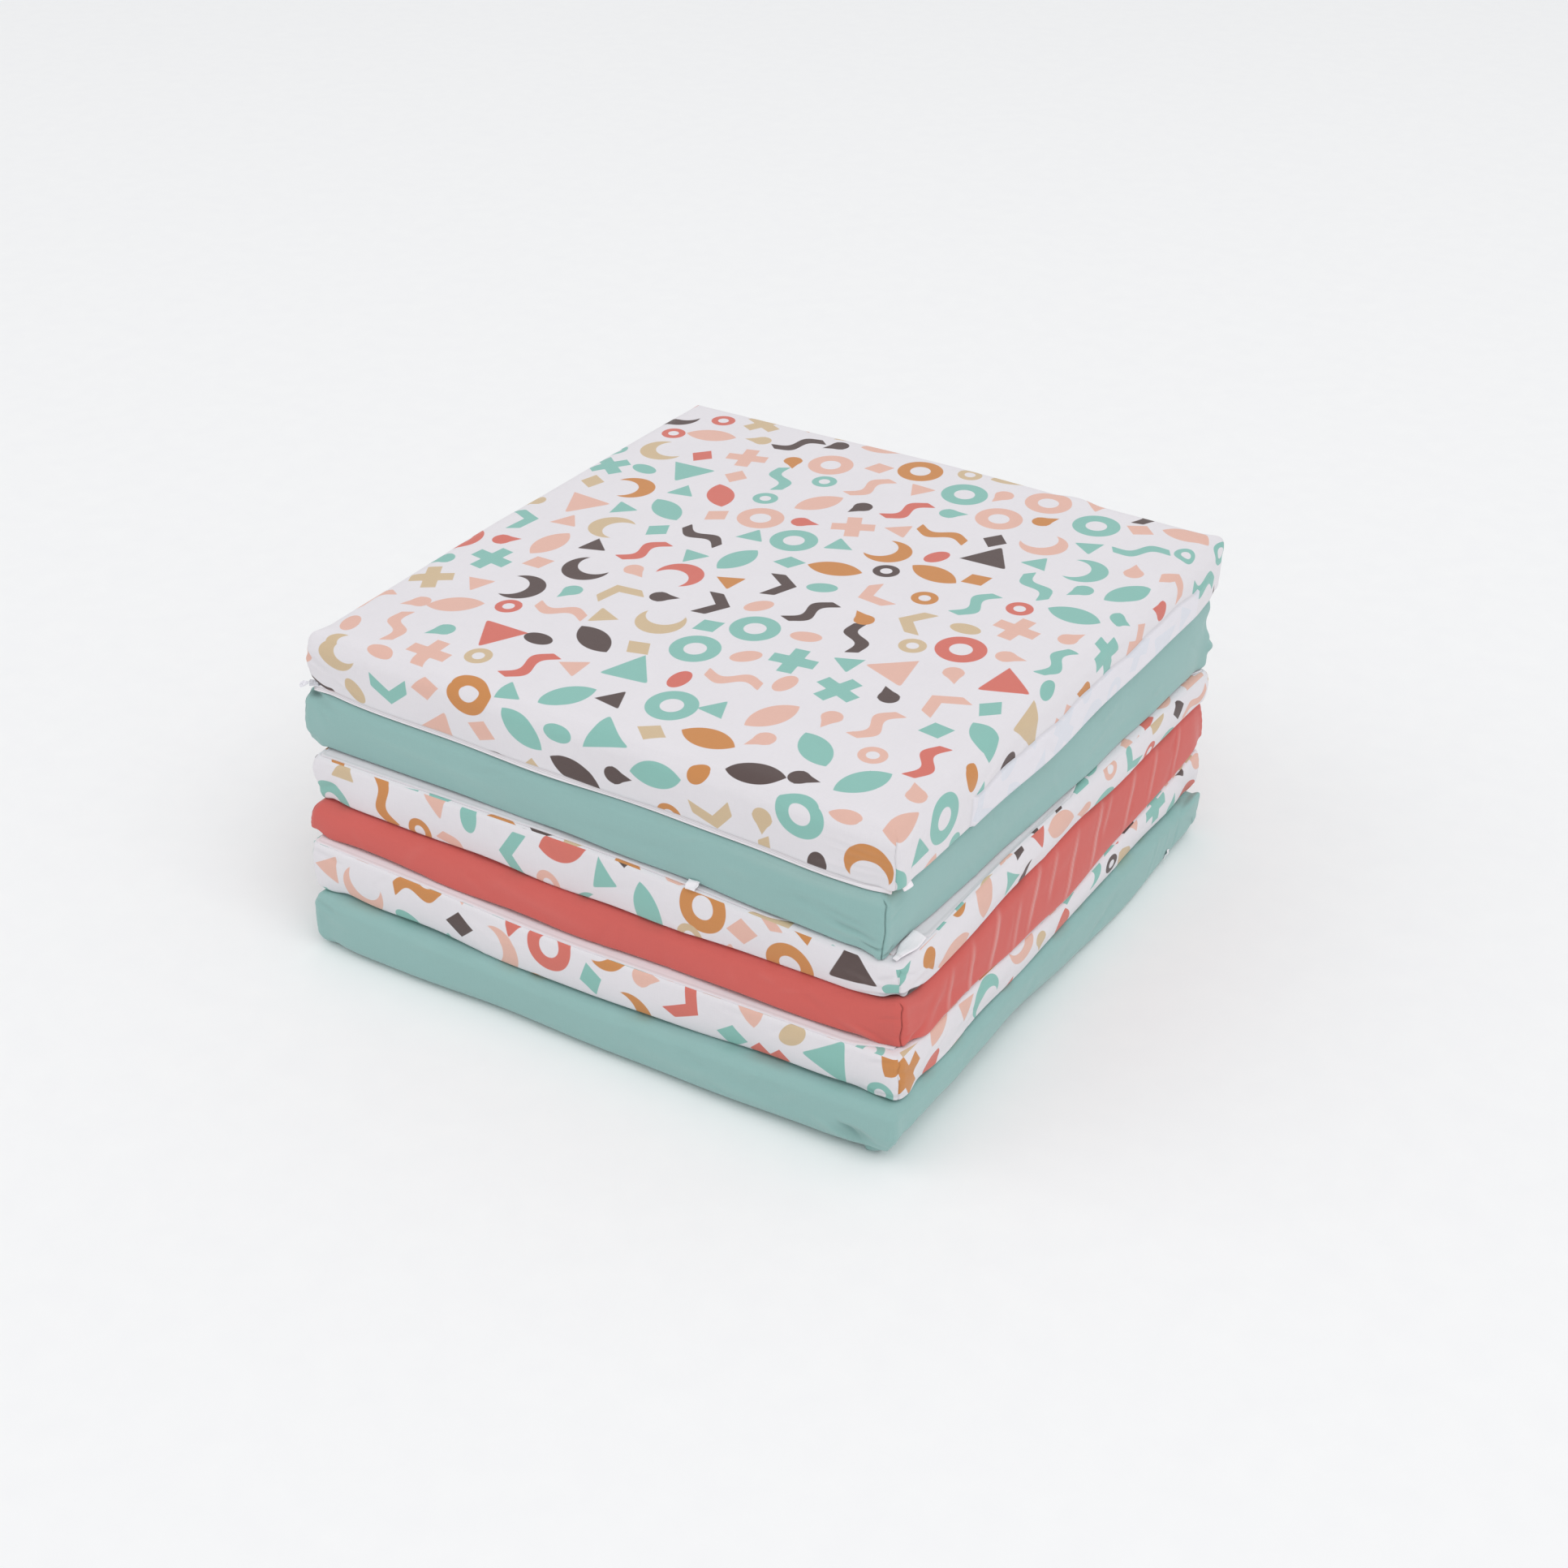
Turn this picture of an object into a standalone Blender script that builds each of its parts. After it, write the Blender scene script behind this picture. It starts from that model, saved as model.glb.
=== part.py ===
"""A baby play mat put away: six square foam panels in cotton covers, one on another.

Metres, +Z up. The origin is on the surface that the stack stands on, below the middle
of the stack. The front face looks along -Y and the right face along +X. Sizes in the
tables below are millimetres and degrees, as their column names say.
"""

import math
from collections import namedtuple

import bmesh
import bpy
from mathutils import Vector

MM = 0.001

# Driving sizes of a panel and of its cloth, in metres.
SIDE = 0.600
COVER_EASE = 0.003
HALF = SIDE / 2 + COVER_EASE
CORNER_RADIUS = 0.009
CLOTH = 0.0015
TOUCH = 0.0008
CLEAR = 0.0009
DRAWN_IN = 0.0025
PUSH_FADE = 0.035

# Radius of the lowest edge of the stack, along its front and its right face.
FOOT_FRONT_LEFT = 0.014
FOOT_FRONT_RIGHT = 0.022
FOOT_RIGHT = 0.024
FOOT_RIGHT_SWING = 0.016
FOOT_CORNER = 0.012
FOOT_CORNER_REACH = 0.070

# Where a panel is cut across for its mesh, in metres from its middle and as parts of its height.
PANEL_CUTS = (0.060, 0.122, 0.182, 0.236, 0.276, 0.297)
HEIGHT_CUTS = (0.12, 0.44, 0.56, 0.86)
SHARP_ANGLE_DEG = 40

# How squarely the heights and the outline follow the panel's four sides.
SQUARENESS = 8

# Soft waves of the sides and of the lower edges. Each panel's begin a step further on.
Wave = namedtuple("Wave", "height length step")
SIDE_WAVES = (Wave(0.0012, 0.047, 1.9), Wave(0.0008, 0.026, 2.7))
FOOT_WAVES = (Wave(0.0009, 0.031, 2.1), Wave(0.0009, 0.019, 1.3))
FOOT_LIFT = 0.0018

# How each panel lies in the stack, and the form of its cover.
Panel = namedtuple(
    "Panel",
    "name cloth level shift_x_mm shift_y_mm turn_deg top_round_mm foot_round_mm bulge_mm flare_mm",
)
PANELS = (
    Panel("panel_1", "print", 6, -5, 13, -0.83, 18, 5, 1.5, 0),
    Panel("panel_2", "teal", 5, -11, 9, -0.96, 9, 6, 2.5, 1),
    Panel("panel_3", "print", 4, 1, 0, 0.05, 6, 6, 2.5, 0),
    Panel("panel_4", "coral", 3, 0, -6, 0.77, 8, 6, 2.0, 9),
    Panel("panel_5", "print", 2, 11, -25, 0.70, 5, 6, 2.5, 0),
    Panel("panel_6", "teal", 1, 18, -38, 0.28, 9, 14, 1.5, 0),
)

# Height of each level at the rim of the stack and in its middle. Level 0 is the surface
# below, level 6 the top of panel 1, and the others part two panels.
Level = namedtuple(
    "Level",
    "middle_mm right_mm back_right_mm back_mm back_left_mm left_mm front_left_mm front_mm front_right_mm",
)
LEVELS = (
    Level(0, 0, 0, 0, 0, 0, 0, 0, 0),
    Level(48, 49, 44, 47, 50, 48, 53, 46, 53),
    Level(94, 77, 84, 90, 94, 95, 102, 93, 97),
    Level(138, 131, 128, 130, 133, 131, 131, 124, 130),
    Level(183, 165, 161, 170, 176, 175, 175, 176, 169),
    Level(232, 225, 235, 232, 230, 227, 226, 224, 227),
    Level(297, 293, 297, 302, 299, 296, 287, 284, 285),
)

# A backing cloth lies on the rim of a panel, above or below it.
Backing = namedtuple("Backing", "name panel above inset_mm")
BACKINGS = (
    Backing("backing_1", 0, False, 1.5),
    Backing("backing_3", 2, True, 3.0),
    Backing("backing_5", 4, True, 3.0),
)

# The hem turned out on the right face of panel 1.
HEM_TOP = 0.50
HEM_THICK = 0.0022
HEM_START = -0.250

# The tape along the front of panel 1, under its printed cloth and ahead of its backing.
TAPE_HEIGHT = 0.0035
TAPE_THICK = 0.0015
TAPE_INSET = 0.0015
TAPE_END = 0.010
TAPE_LIFT = 0.0022
BACKING_FRONT = 0.0052

# The slider at the left end of the tape, and the pull that points away from the stack.
ZIP_LIFT = 0.008
ZIP_REACH = 0.030
SLIDER_PLACE = (-0.3092, -0.2778, 0.2322)
SLIDER_SIZE = (0.0090, 0.0062, 0.0040)
PULL_SIZE = (0.0095, 0.0052, 0.0014)
PULL_HEADING_DEG = 208
PULL_DROP = 0.0030

# The slider narrows to the pull, and the pull widens from its neck.
SLIDER_TAPER = 0.82
PULL_NECK = 0.55
PULL_NECK_PART = 0.6

# Folded ends of tape: place of the root, the way each one points, and its size.
Tab = namedtuple(
    "Tab", "name x_mm y_mm z_mm heading_deg climb_deg curl_deg long_mm wide_mm"
)
TABS = (
    Tab("tab_corner", 289.6, -273.0, 224.5, 0, -50, -15, 9, 12),
    Tab("tab_side", 293.0, -291.0, 172.5, 90, 4, 14, 32, 10),
    Tab("tab_front", 106.0, -295.0, 178.2, -90, -18, -25, 9, 11),
    Tab("tab_foot", 317.6, 190.0, 8.0, 0, 62, 12, 9, 7),
)
TAB_THICK = 0.0016
TAB_CUTS = (-0.5, 0.0, 0.5)
PULL_CUTS = (-0.4, 0.5)

# Colour and roughness of each finish.
FINISHES = {
    "print": ((0.76, 0.73, 0.76, 1.0), 0.85, 0.0),
    "teal": ((0.28, 0.49, 0.45, 1.0), 0.85, 0.0),
    "coral": ((0.63, 0.12, 0.10, 1.0), 0.85, 0.0),
    "backing": ((0.62, 0.60, 0.58, 1.0), 0.90, 0.0),
    "tape": ((0.80, 0.79, 0.78, 1.0), 0.80, 0.0),
    "zip": ((0.70, 0.70, 0.72, 1.0), 0.35, 0.0),
}


def clear_scene():
    """Remove every object of the open file."""
    for obj in list(bpy.data.objects):
        bpy.data.objects.remove(obj, do_unlink=True)


def make_material(name):
    """A Principled material with the colour, roughness and metal of one finish."""
    colour, roughness, metal = FINISHES[name]
    material = bpy.data.materials.new(name)
    material.use_nodes = True
    shader = material.node_tree.nodes["Principled BSDF"]
    shader.inputs["Base Color"].default_value = colour
    shader.inputs["Roughness"].default_value = roughness
    shader.inputs["Metallic"].default_value = metal
    material.diffuse_color = colour
    return material


def grid_box(cuts_x, cuts_y, cuts_z):
    """A closed cube from -1 to 1 that is cut across at the given places on each axis."""
    mesh = bmesh.new()
    bmesh.ops.create_cube(mesh, size=2.0)
    for axis, cuts in enumerate((cuts_x, cuts_y, cuts_z)):
        normal = Vector((0.0, 0.0, 0.0))
        normal[axis] = 1.0
        for cut in cuts:
            bmesh.ops.bisect_plane(
                mesh,
                geom=mesh.verts[:] + mesh.edges[:] + mesh.faces[:],
                plane_co=normal * cut,
                plane_no=normal,
                dist=1e-6,
            )
    return mesh


def both_ways(lengths, half):
    """Cuts at each length either side of the middle, and at the middle, as parts of the half size."""
    parts = [length / half for length in lengths]
    return sorted([-part for part in parts] + [0.0] + parts)


def finish_piece(mesh, name, cloth, collection, materials):
    """Turn a shaped mesh into a named object with its material."""
    if mesh.calc_volume(signed=True) < 0:
        bmesh.ops.reverse_faces(mesh, faces=mesh.faces[:])
    data = bpy.data.meshes.new(name)
    mesh.to_mesh(data)
    mesh.free()
    data.shade_smooth()
    data.set_sharp_from_angle(angle=math.radians(SHARP_ANGLE_DEG))
    data.materials.append(materials[cloth])
    piece = bpy.data.objects.new(name, data)
    collection.objects.link(piece)
    return piece


def smooth_step(value):
    """0 below 0, 1 above 1, and a soft rise between."""
    part = min(max(value, 0.0), 1.0)
    return part * part * (3 - 2 * part)


def waves(table, along, index):
    """Sum of the waves of a table at a distance along a panel's side."""
    return sum(wave.height * math.sin(along / wave.length + wave.step * index) for wave in table)


def level_height(level, x, y):
    """Height of a level at a place: its middle, bent to the rim's own height all round."""
    middle, *rim = LEVELS[level]
    turn = math.atan2(y, x) / math.tau * len(rim) % len(rim)
    station = int(turn)
    blend = smooth_step(turn - station)
    edge = rim[station] * (1 - blend) + rim[(station + 1) % len(rim)] * blend
    reach = (abs(x / HALF) ** SQUARENESS + abs(y / HALF) ** SQUARENESS) ** (1 / SQUARENESS)
    return MM * (middle + (edge - middle) * reach * reach)


def cloth_room(panel_index, above):
    """Room that a backing needs between a panel and the level above or below it."""
    has_backing = any(row.panel == panel_index and row.above == above for row in BACKINGS)
    return CLOTH + CLEAR if has_backing else 0.0


def panel_top(index, x, y):
    """Height of a panel's upper face, ahead of its rounded edge."""
    level = PANELS[index].level
    room = 0.0 if index == 0 else TOUCH / 2
    return level_height(level, x, y) - room - cloth_room(index, True)


def panel_foot(index, x, y):
    """Height of a panel's lower face, ahead of its rounded edge."""
    level = PANELS[index].level - 1
    room = 0.0 if level == 0 else TOUCH / 2
    return level_height(level, x, y) + room + cloth_room(index, False)


def in_stack(panel, x, y):
    """A place in a panel's own plan, shifted and turned as the panel lies."""
    turn = math.radians(panel.turn_deg)
    return (
        x * math.cos(turn) - y * math.sin(turn) + panel.shift_x_mm * MM,
        x * math.sin(turn) + y * math.cos(turn) + panel.shift_y_mm * MM,
    )


def rounded(inset, depth, radius):
    """Move a point of a square edge, given by its two distances, onto a round one."""
    if inset >= radius or depth >= radius:
        return inset, depth
    across = radius - inset
    along = radius - depth
    reach = math.hypot(across, along)
    return radius - radius * across / reach, radius - radius * along / reach


def plan_place(a, b, inset):
    """A place in plan on the outline that runs inside the panel's own at the given inset."""
    reach = max(abs(a), abs(b))
    half = HALF - inset
    if reach < 1e-9:
        return 0.0, 0.0
    x = a / reach * half
    y = b / reach * half
    radius = max(CORNER_RADIUS - inset, MM)
    square = half - radius
    core_x = min(max(x, -square), square)
    core_y = min(max(y, -square), square)
    out = math.hypot(x - core_x, y - core_y)
    if out > radius:
        x = core_x + (x - core_x) * radius / out
        y = core_y + (y - core_y) * radius / out
    return x, y


def outward(x, y):
    """The way out of the panel in plan, square to a side and turning at a corner."""
    way = Vector((x / HALF * abs(x / HALF) ** SQUARENESS, y / HALF * abs(y / HALF) ** SQUARENESS))
    return way.normalized()


def side_push(index, x, y, rise):
    """How far the cover stands out of the plain outline at a height between foot and top."""
    panel = PANELS[index]
    way = outward(x, y)
    along = x * way.y - y * way.x
    belly = panel.bulge_mm * MM * math.sin(math.pi * rise)
    drawn = DRAWN_IN * (1 - min(abs(along) / HALF, 1.0) ** 2)
    seen = max(way.x, -way.y, 0.0)
    flare = panel.flare_mm * MM * (1 - rise) * seen
    wave = waves(SIDE_WAVES, along, index) * (1 - rise)
    has_hem = index == 0 and x > abs(y) and rise < HEM_TOP and y > HEM_START
    return belly - drawn + flare + wave + HEM_THICK * has_hem


def foot_radius(index, x, y):
    """Radius of a panel's lower edge, which changes along the front and right of the lowest panel."""
    plain = PANELS[index].foot_round_mm * MM
    if PANELS[index].level > 1:
        return plain
    way = outward(x, y)
    front = (FOOT_FRONT_LEFT + (FOOT_FRONT_RIGHT - FOOT_FRONT_LEFT) * smooth_step(x / HALF)) * (way.y < 0)
    right = (FOOT_RIGHT - FOOT_RIGHT_SWING * math.sin(math.pi * y / HALF)) * (way.x > 0)
    corner = FOOT_CORNER * smooth_step(1 - math.hypot(x - HALF, y + HALF) / FOOT_CORNER_REACH)
    return (front or plain) * way.y**2 + (right or plain) * way.x**2 + corner


def foot_lift(index, x, y):
    """How far the lower edge of a cover rises and falls along its rim."""
    if PANELS[index].level == 1:
        return 0.0
    way = outward(x, y)
    along = x * way.y - y * way.x
    lift = FOOT_LIFT + waves(FOOT_WAVES, along, index)
    if index == 0:
        lift += TAPE_LIFT * smooth_step(-way.y)
        lift += ZIP_LIFT * smooth_step(1 - math.hypot(x + HALF, y + HALF) / ZIP_REACH)
    return lift


def panel_point(index, a, b, c):
    """Place on a panel's cover of the point (a, b, c) of a cube from -1 to 1."""
    panel = PANELS[index]
    reach = max(abs(a), abs(b))
    inset = HALF * (1 - reach)
    plain_x, plain_y = in_stack(panel, *plan_place(a, b, inset))
    top = panel_top(index, plain_x, plain_y)
    foot = panel_foot(index, plain_x, plain_y)
    rise = (c + 1) / 2
    height = top - foot
    if rise >= 0.5:
        inset, depth = rounded(inset, (1 - rise) * height, panel.top_round_mm * MM)
        z = top - depth
    else:
        radius = foot_radius(index, a * HALF, b * HALF)
        inset, depth = rounded(inset, rise * height, radius)
        z = foot + depth
    x, y = plan_place(a, b, inset)
    fade = smooth_step(1 - inset / PUSH_FADE)
    push = side_push(index, x, y, (z - foot) / height) * fade
    z += foot_lift(index, x, y) * fade * (1 - rise) ** 2
    way = outward(x, y)
    x, y = in_stack(panel, x + way.x * push, y + way.y * push)
    return Vector((x, y, z))


def build_panel(index, collection, materials):
    """One foam panel in its cover."""
    cuts = both_ways(PANEL_CUTS, HALF)
    mesh = grid_box(cuts, cuts, [2 * cut - 1 for cut in HEIGHT_CUTS])
    for vert in mesh.verts:
        vert.co = panel_point(index, *vert.co)
    panel = PANELS[index]
    return finish_piece(mesh, panel.name, panel.cloth, collection, materials)


def build_backing(backing, collection, materials):
    """A thin cloth on the upper or lower face of a panel."""
    panel = PANELS[backing.panel]
    half = HALF - backing.inset_mm * MM
    cuts = both_ways(PANEL_CUTS, half)
    mesh = grid_box(cuts, cuts, [])
    for vert in mesh.verts:
        a, b, c = vert.co
        inset = HALF - half * max(abs(a), abs(b))
        x, y = plan_place(a, b, inset)
        push = side_push(backing.panel, x, y, float(backing.above)) * smooth_step(1 - inset / PUSH_FADE)
        if backing.panel == 0:
            y = max(y, BACKING_FRONT - HALF)
        way = outward(x, y)
        x, y = in_stack(panel, x + way.x * push, y + way.y * push)
        rise = (c + 1) / 2 * CLOTH
        if backing.above:
            z = panel_top(backing.panel, x, y) + CLEAR + rise
        else:
            z = panel_foot(backing.panel, x, y) - CLEAR - CLOTH + rise
        vert.co = (x, y, z)
    return finish_piece(mesh, backing.name, "backing", collection, materials)


def build_tape(collection, materials):
    """The tape along the front of panel 1, standing in the hollow of its lower edge."""
    half = HALF - TAPE_END
    mesh = grid_box(both_ways(PANEL_CUTS[:-1], half), [], [])
    panel = PANELS[0]
    for vert in mesh.verts:
        a, b, c = vert.co
        x = a * half
        y = -HALF + TAPE_INSET + (b + 1) / 2 * TAPE_THICK
        push = side_push(0, x, -HALF, 0.0)
        x, y = in_stack(panel, x, y - push)
        z = level_height(panel.level - 1, x, y) + TOUCH / 2 + (c + 1) / 2 * TAPE_HEIGHT
        vert.co = (x, y, z)
    return finish_piece(mesh, "zip_tape", "tape", collection, materials)


def build_tab(tab, collection, materials):
    """A short end of tape that leaves its root straight and then curls."""
    mesh = grid_box(TAB_CUTS, [], [])
    heading = math.radians(tab.heading_deg)
    forward = Vector((math.cos(heading), math.sin(heading), 0.0))
    side = Vector((-forward.y, forward.x, 0.0))
    root = Vector((tab.x_mm, tab.y_mm, tab.z_mm)) * MM
    for vert in mesh.verts:
        along, across, out = vert.co
        part = (along + 1) / 2
        climb = math.radians(tab.climb_deg + tab.curl_deg * part)
        run = forward * math.cos(climb) + Vector((0.0, 0.0, math.sin(climb)))
        vert.co = (
            root
            + run * (part * tab.long_mm * MM)
            + side * (across * tab.wide_mm * MM / 2)
            + run.cross(side) * (out * TAB_THICK / 2)
        )
    return finish_piece(mesh, tab.name, "tape", collection, materials)


def build_zip(collection, materials):
    """The slider at the left end of the tape and its pull."""
    heading = math.radians(PULL_HEADING_DEG)
    forward = Vector((math.cos(heading), math.sin(heading), 0.0))
    side = Vector((-forward.y, forward.x, 0.0))
    place = Vector(SLIDER_PLACE)
    slider = grid_box([0.0], [], [])
    for vert in slider.verts:
        along, across, up = vert.co
        taper = SLIDER_TAPER + (1 - SLIDER_TAPER) * (1 - along) / 2
        vert.co = (
            place
            + forward * (along * SLIDER_SIZE[0] / 2)
            + side * (across * SLIDER_SIZE[1] / 2 * taper)
            + Vector((0.0, 0.0, up * SLIDER_SIZE[2] / 2))
        )
    finish_piece(slider, "zip_slider", "zip", collection, materials)
    start = place + forward * (SLIDER_SIZE[0] / 2 + CLEAR)
    pull = grid_box(PULL_CUTS, [], [])
    for vert in pull.verts:
        along, across, up = vert.co
        part = (along + 1) / 2
        width = PULL_NECK + (1 - PULL_NECK) * smooth_step(part / PULL_NECK_PART)
        vert.co = (
            start
            + forward * (part * PULL_SIZE[0])
            + side * (across * PULL_SIZE[1] / 2 * width)
            + Vector((0.0, 0.0, up * PULL_SIZE[2] / 2 - part * PULL_DROP))
        )
    finish_piece(pull, "zip_pull", "zip", collection, materials)


def main():
    """Build every piece of the stack."""
    clear_scene()
    collection = bpy.data.collections.new("baby_play_mat")
    bpy.context.scene.collection.children.link(collection)
    materials = {name: make_material(name) for name in FINISHES}
    for index in range(len(PANELS)):
        build_panel(index, collection, materials)
    for backing in BACKINGS:
        build_backing(backing, collection, materials)
    build_tape(collection, materials)
    build_zip(collection, materials)
    for tab in TABS:
        build_tab(tab, collection, materials)


main()
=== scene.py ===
"""Looks of a baby play mat that is put away: six foam panels in cotton covers, one on another.

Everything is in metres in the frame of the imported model, +Z up, with the origin on the surface
below the middle of the stack. The front face looks along -Y and the right face along +X. The sizes
in the tables below are millimetres and degrees, as their comments say.
"""

import logging
import math
from dataclasses import dataclass
from enum import Enum

import bpy
import numpy as np
from mathutils import Matrix, Vector


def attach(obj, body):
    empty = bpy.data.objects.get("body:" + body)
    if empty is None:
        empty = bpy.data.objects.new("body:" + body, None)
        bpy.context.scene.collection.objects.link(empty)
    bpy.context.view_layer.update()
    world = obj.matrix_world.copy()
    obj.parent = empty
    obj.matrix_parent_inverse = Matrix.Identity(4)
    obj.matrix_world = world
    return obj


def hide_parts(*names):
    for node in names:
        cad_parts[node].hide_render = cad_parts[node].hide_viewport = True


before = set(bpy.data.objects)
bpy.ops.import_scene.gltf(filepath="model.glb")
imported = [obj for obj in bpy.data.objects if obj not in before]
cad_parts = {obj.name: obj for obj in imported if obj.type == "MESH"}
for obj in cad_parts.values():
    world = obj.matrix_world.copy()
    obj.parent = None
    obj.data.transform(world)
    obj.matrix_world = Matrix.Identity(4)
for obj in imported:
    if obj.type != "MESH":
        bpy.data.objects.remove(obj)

LOG = logging.getLogger("play_mat")
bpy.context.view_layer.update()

MM = 0.001
Floats = np.ndarray
Paint = tuple[int, int, int]

# Driving sizes of a panel and its cover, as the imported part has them, in metres.
SIDE = 0.600
COVER_EASE = 0.003
HALF = SIDE / 2 + COVER_EASE
CORNER_RADIUS = 0.009
CLOTH = 0.0015
TOUCH = 0.0008
CLEAR = 0.0009
DRAWN_IN = 0.0025
PUSH_FADE = 0.035
SQUARENESS = 8

# Radius of the lowest edge of the stack, along its front and its right face.
FOOT_FRONT_LEFT = 0.014
FOOT_FRONT_RIGHT = 0.022
FOOT_RIGHT = 0.024
FOOT_RIGHT_SWING = 0.016
FOOT_CORNER = 0.012
FOOT_CORNER_REACH = 0.070
FOOT_LIFT = 0.0009

# The tape along the front of the top panel, and the room that the slider takes at its left end.
TAPE_END = 0.008
TAPE_LIFT = 0.0034
TAPE_THICK = 0.0015
ZIP_LIFT = 0.009
ZIP_REACH = 0.024

# The hem turned out on the right face of the top panel.
HEM_TOP = 0.50
HEM_THICK = 0.0022
HEM_START = -0.184
HEM_END = 0.238
HEM_ROUND = 0.0022
HEM_ROW_GAP = 0.012
HEM_STEP = 0.003
HEM_FADE = 0.045
HEM_EASE = 0.01

# Over how far a cover changes at a backing's edge and at its own rim, how far a backing reaches
# past that change, and over how many millimetres its edge comes out and goes in again.
BACKED_FADE = 0.0025
SIDE_FADE = 0.006
BACKING_LAP = 0.0016
EDGE_FADES = (24, 60)

# A guard against dividing by nothing, and how near to the end of a block counts as on it.
TINY = 1e-9
ON_END = 1 - 1e-6


class Cloth(Enum):
    """The finishes of the stack, by the slot that each one has in the record."""

    PRINT = "print"
    TEAL = "teal"
    CORAL = "coral"
    BACKING = "backing"
    TAPE = "tape"
    ZIP = "zip"


class Side(Enum):
    """The four sides of the stack, by the way out of each one in plan."""

    FRONT = (0.0, -1.0)
    RIGHT = (1.0, 0.0)
    BACK = (0.0, 1.0)
    LEFT = (-1.0, 0.0)


@dataclass(frozen=True)
class Wave:
    """One soft wave along a side, in metres, that begins a step further on in each panel."""

    height: float
    length: float
    step: float


SIDE_WAVES = (Wave(0.0012, 0.047, 1.9), Wave(0.0008, 0.026, 2.7))
FOOT_WAVES = (Wave(0.0007, 0.031, 2.1), Wave(0.0006, 0.019, 1.3))

# Waves of the hem's upper edge, whose heights are parts of the panel's height.
HEM_WAVES = (Wave(0.020, 0.023, 0.4), Wave(0.012, 0.0105, 1.7))

# Height of each level at the rim of the stack and in its middle, in millimetres: middle, right,
# back right, back, back left, left, front left, front, front right.
LEVELS = (
    (0, 0, 0, 0, 0, 0, 0, 0, 0),
    (48, 49, 44, 47, 50, 48, 53, 46, 53),
    (94, 77, 84, 90, 94, 95, 102, 93, 97),
    (138, 131, 128, 130, 133, 131, 131, 124, 130),
    (183, 165, 161, 170, 176, 175, 175, 176, 169),
    (232, 225, 235, 232, 230, 227, 226, 224, 227),
    (297, 293, 297, 302, 299, 296, 287, 284, 285),
)

# Places where a level dips or rises, in millimetres: level, place, reach and rise.
DIPS = ((5, 232, -303, 62, -3.6), (5, -308, -298, 46, 5.0), (3, 303, -303, 24, 8.5))


@dataclass(frozen=True)
class Fold:
    """A crease or soft roll of the cloth on a side. Lengths in millimetres, angles in degrees."""

    side: Side
    place: float
    rise: float
    heading: float
    long: float
    wide: float
    proud: float
    shade: float = 0.0


@dataclass(frozen=True)
class Lie:
    """How a panel lies in the stack, and the form of its cover. Lengths in millimetres."""

    name: str
    cloth: Cloth
    level: int
    shift: tuple[float, float]
    turn_deg: float
    top_round: float
    foot_round: float
    bulge: float
    flare: float
    print_up: bool


LIES = (
    Lie("panel_1", Cloth.PRINT, 6, (-5, 13), -0.83, 18, 2.5, 1.5, 0, True),
    Lie("panel_2", Cloth.TEAL, 5, (-11, 9), -0.96, 9, 2.5, 2.5, 1, False),
    Lie("panel_3", Cloth.PRINT, 4, (1, 0), 0.05, 5, 3, 2.5, 0, False),
    Lie("panel_4", Cloth.CORAL, 3, (0, -6), 0.77, 8, 3, 2.0, 9, True),
    Lie("panel_5", Cloth.PRINT, 2, (11, -25), 0.70, 5, 3, 2.5, 0, False),
    Lie("panel_6", Cloth.TEAL, 1, (18, -38), 0.28, 9, 14, 1.5, 0, True),
)

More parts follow.
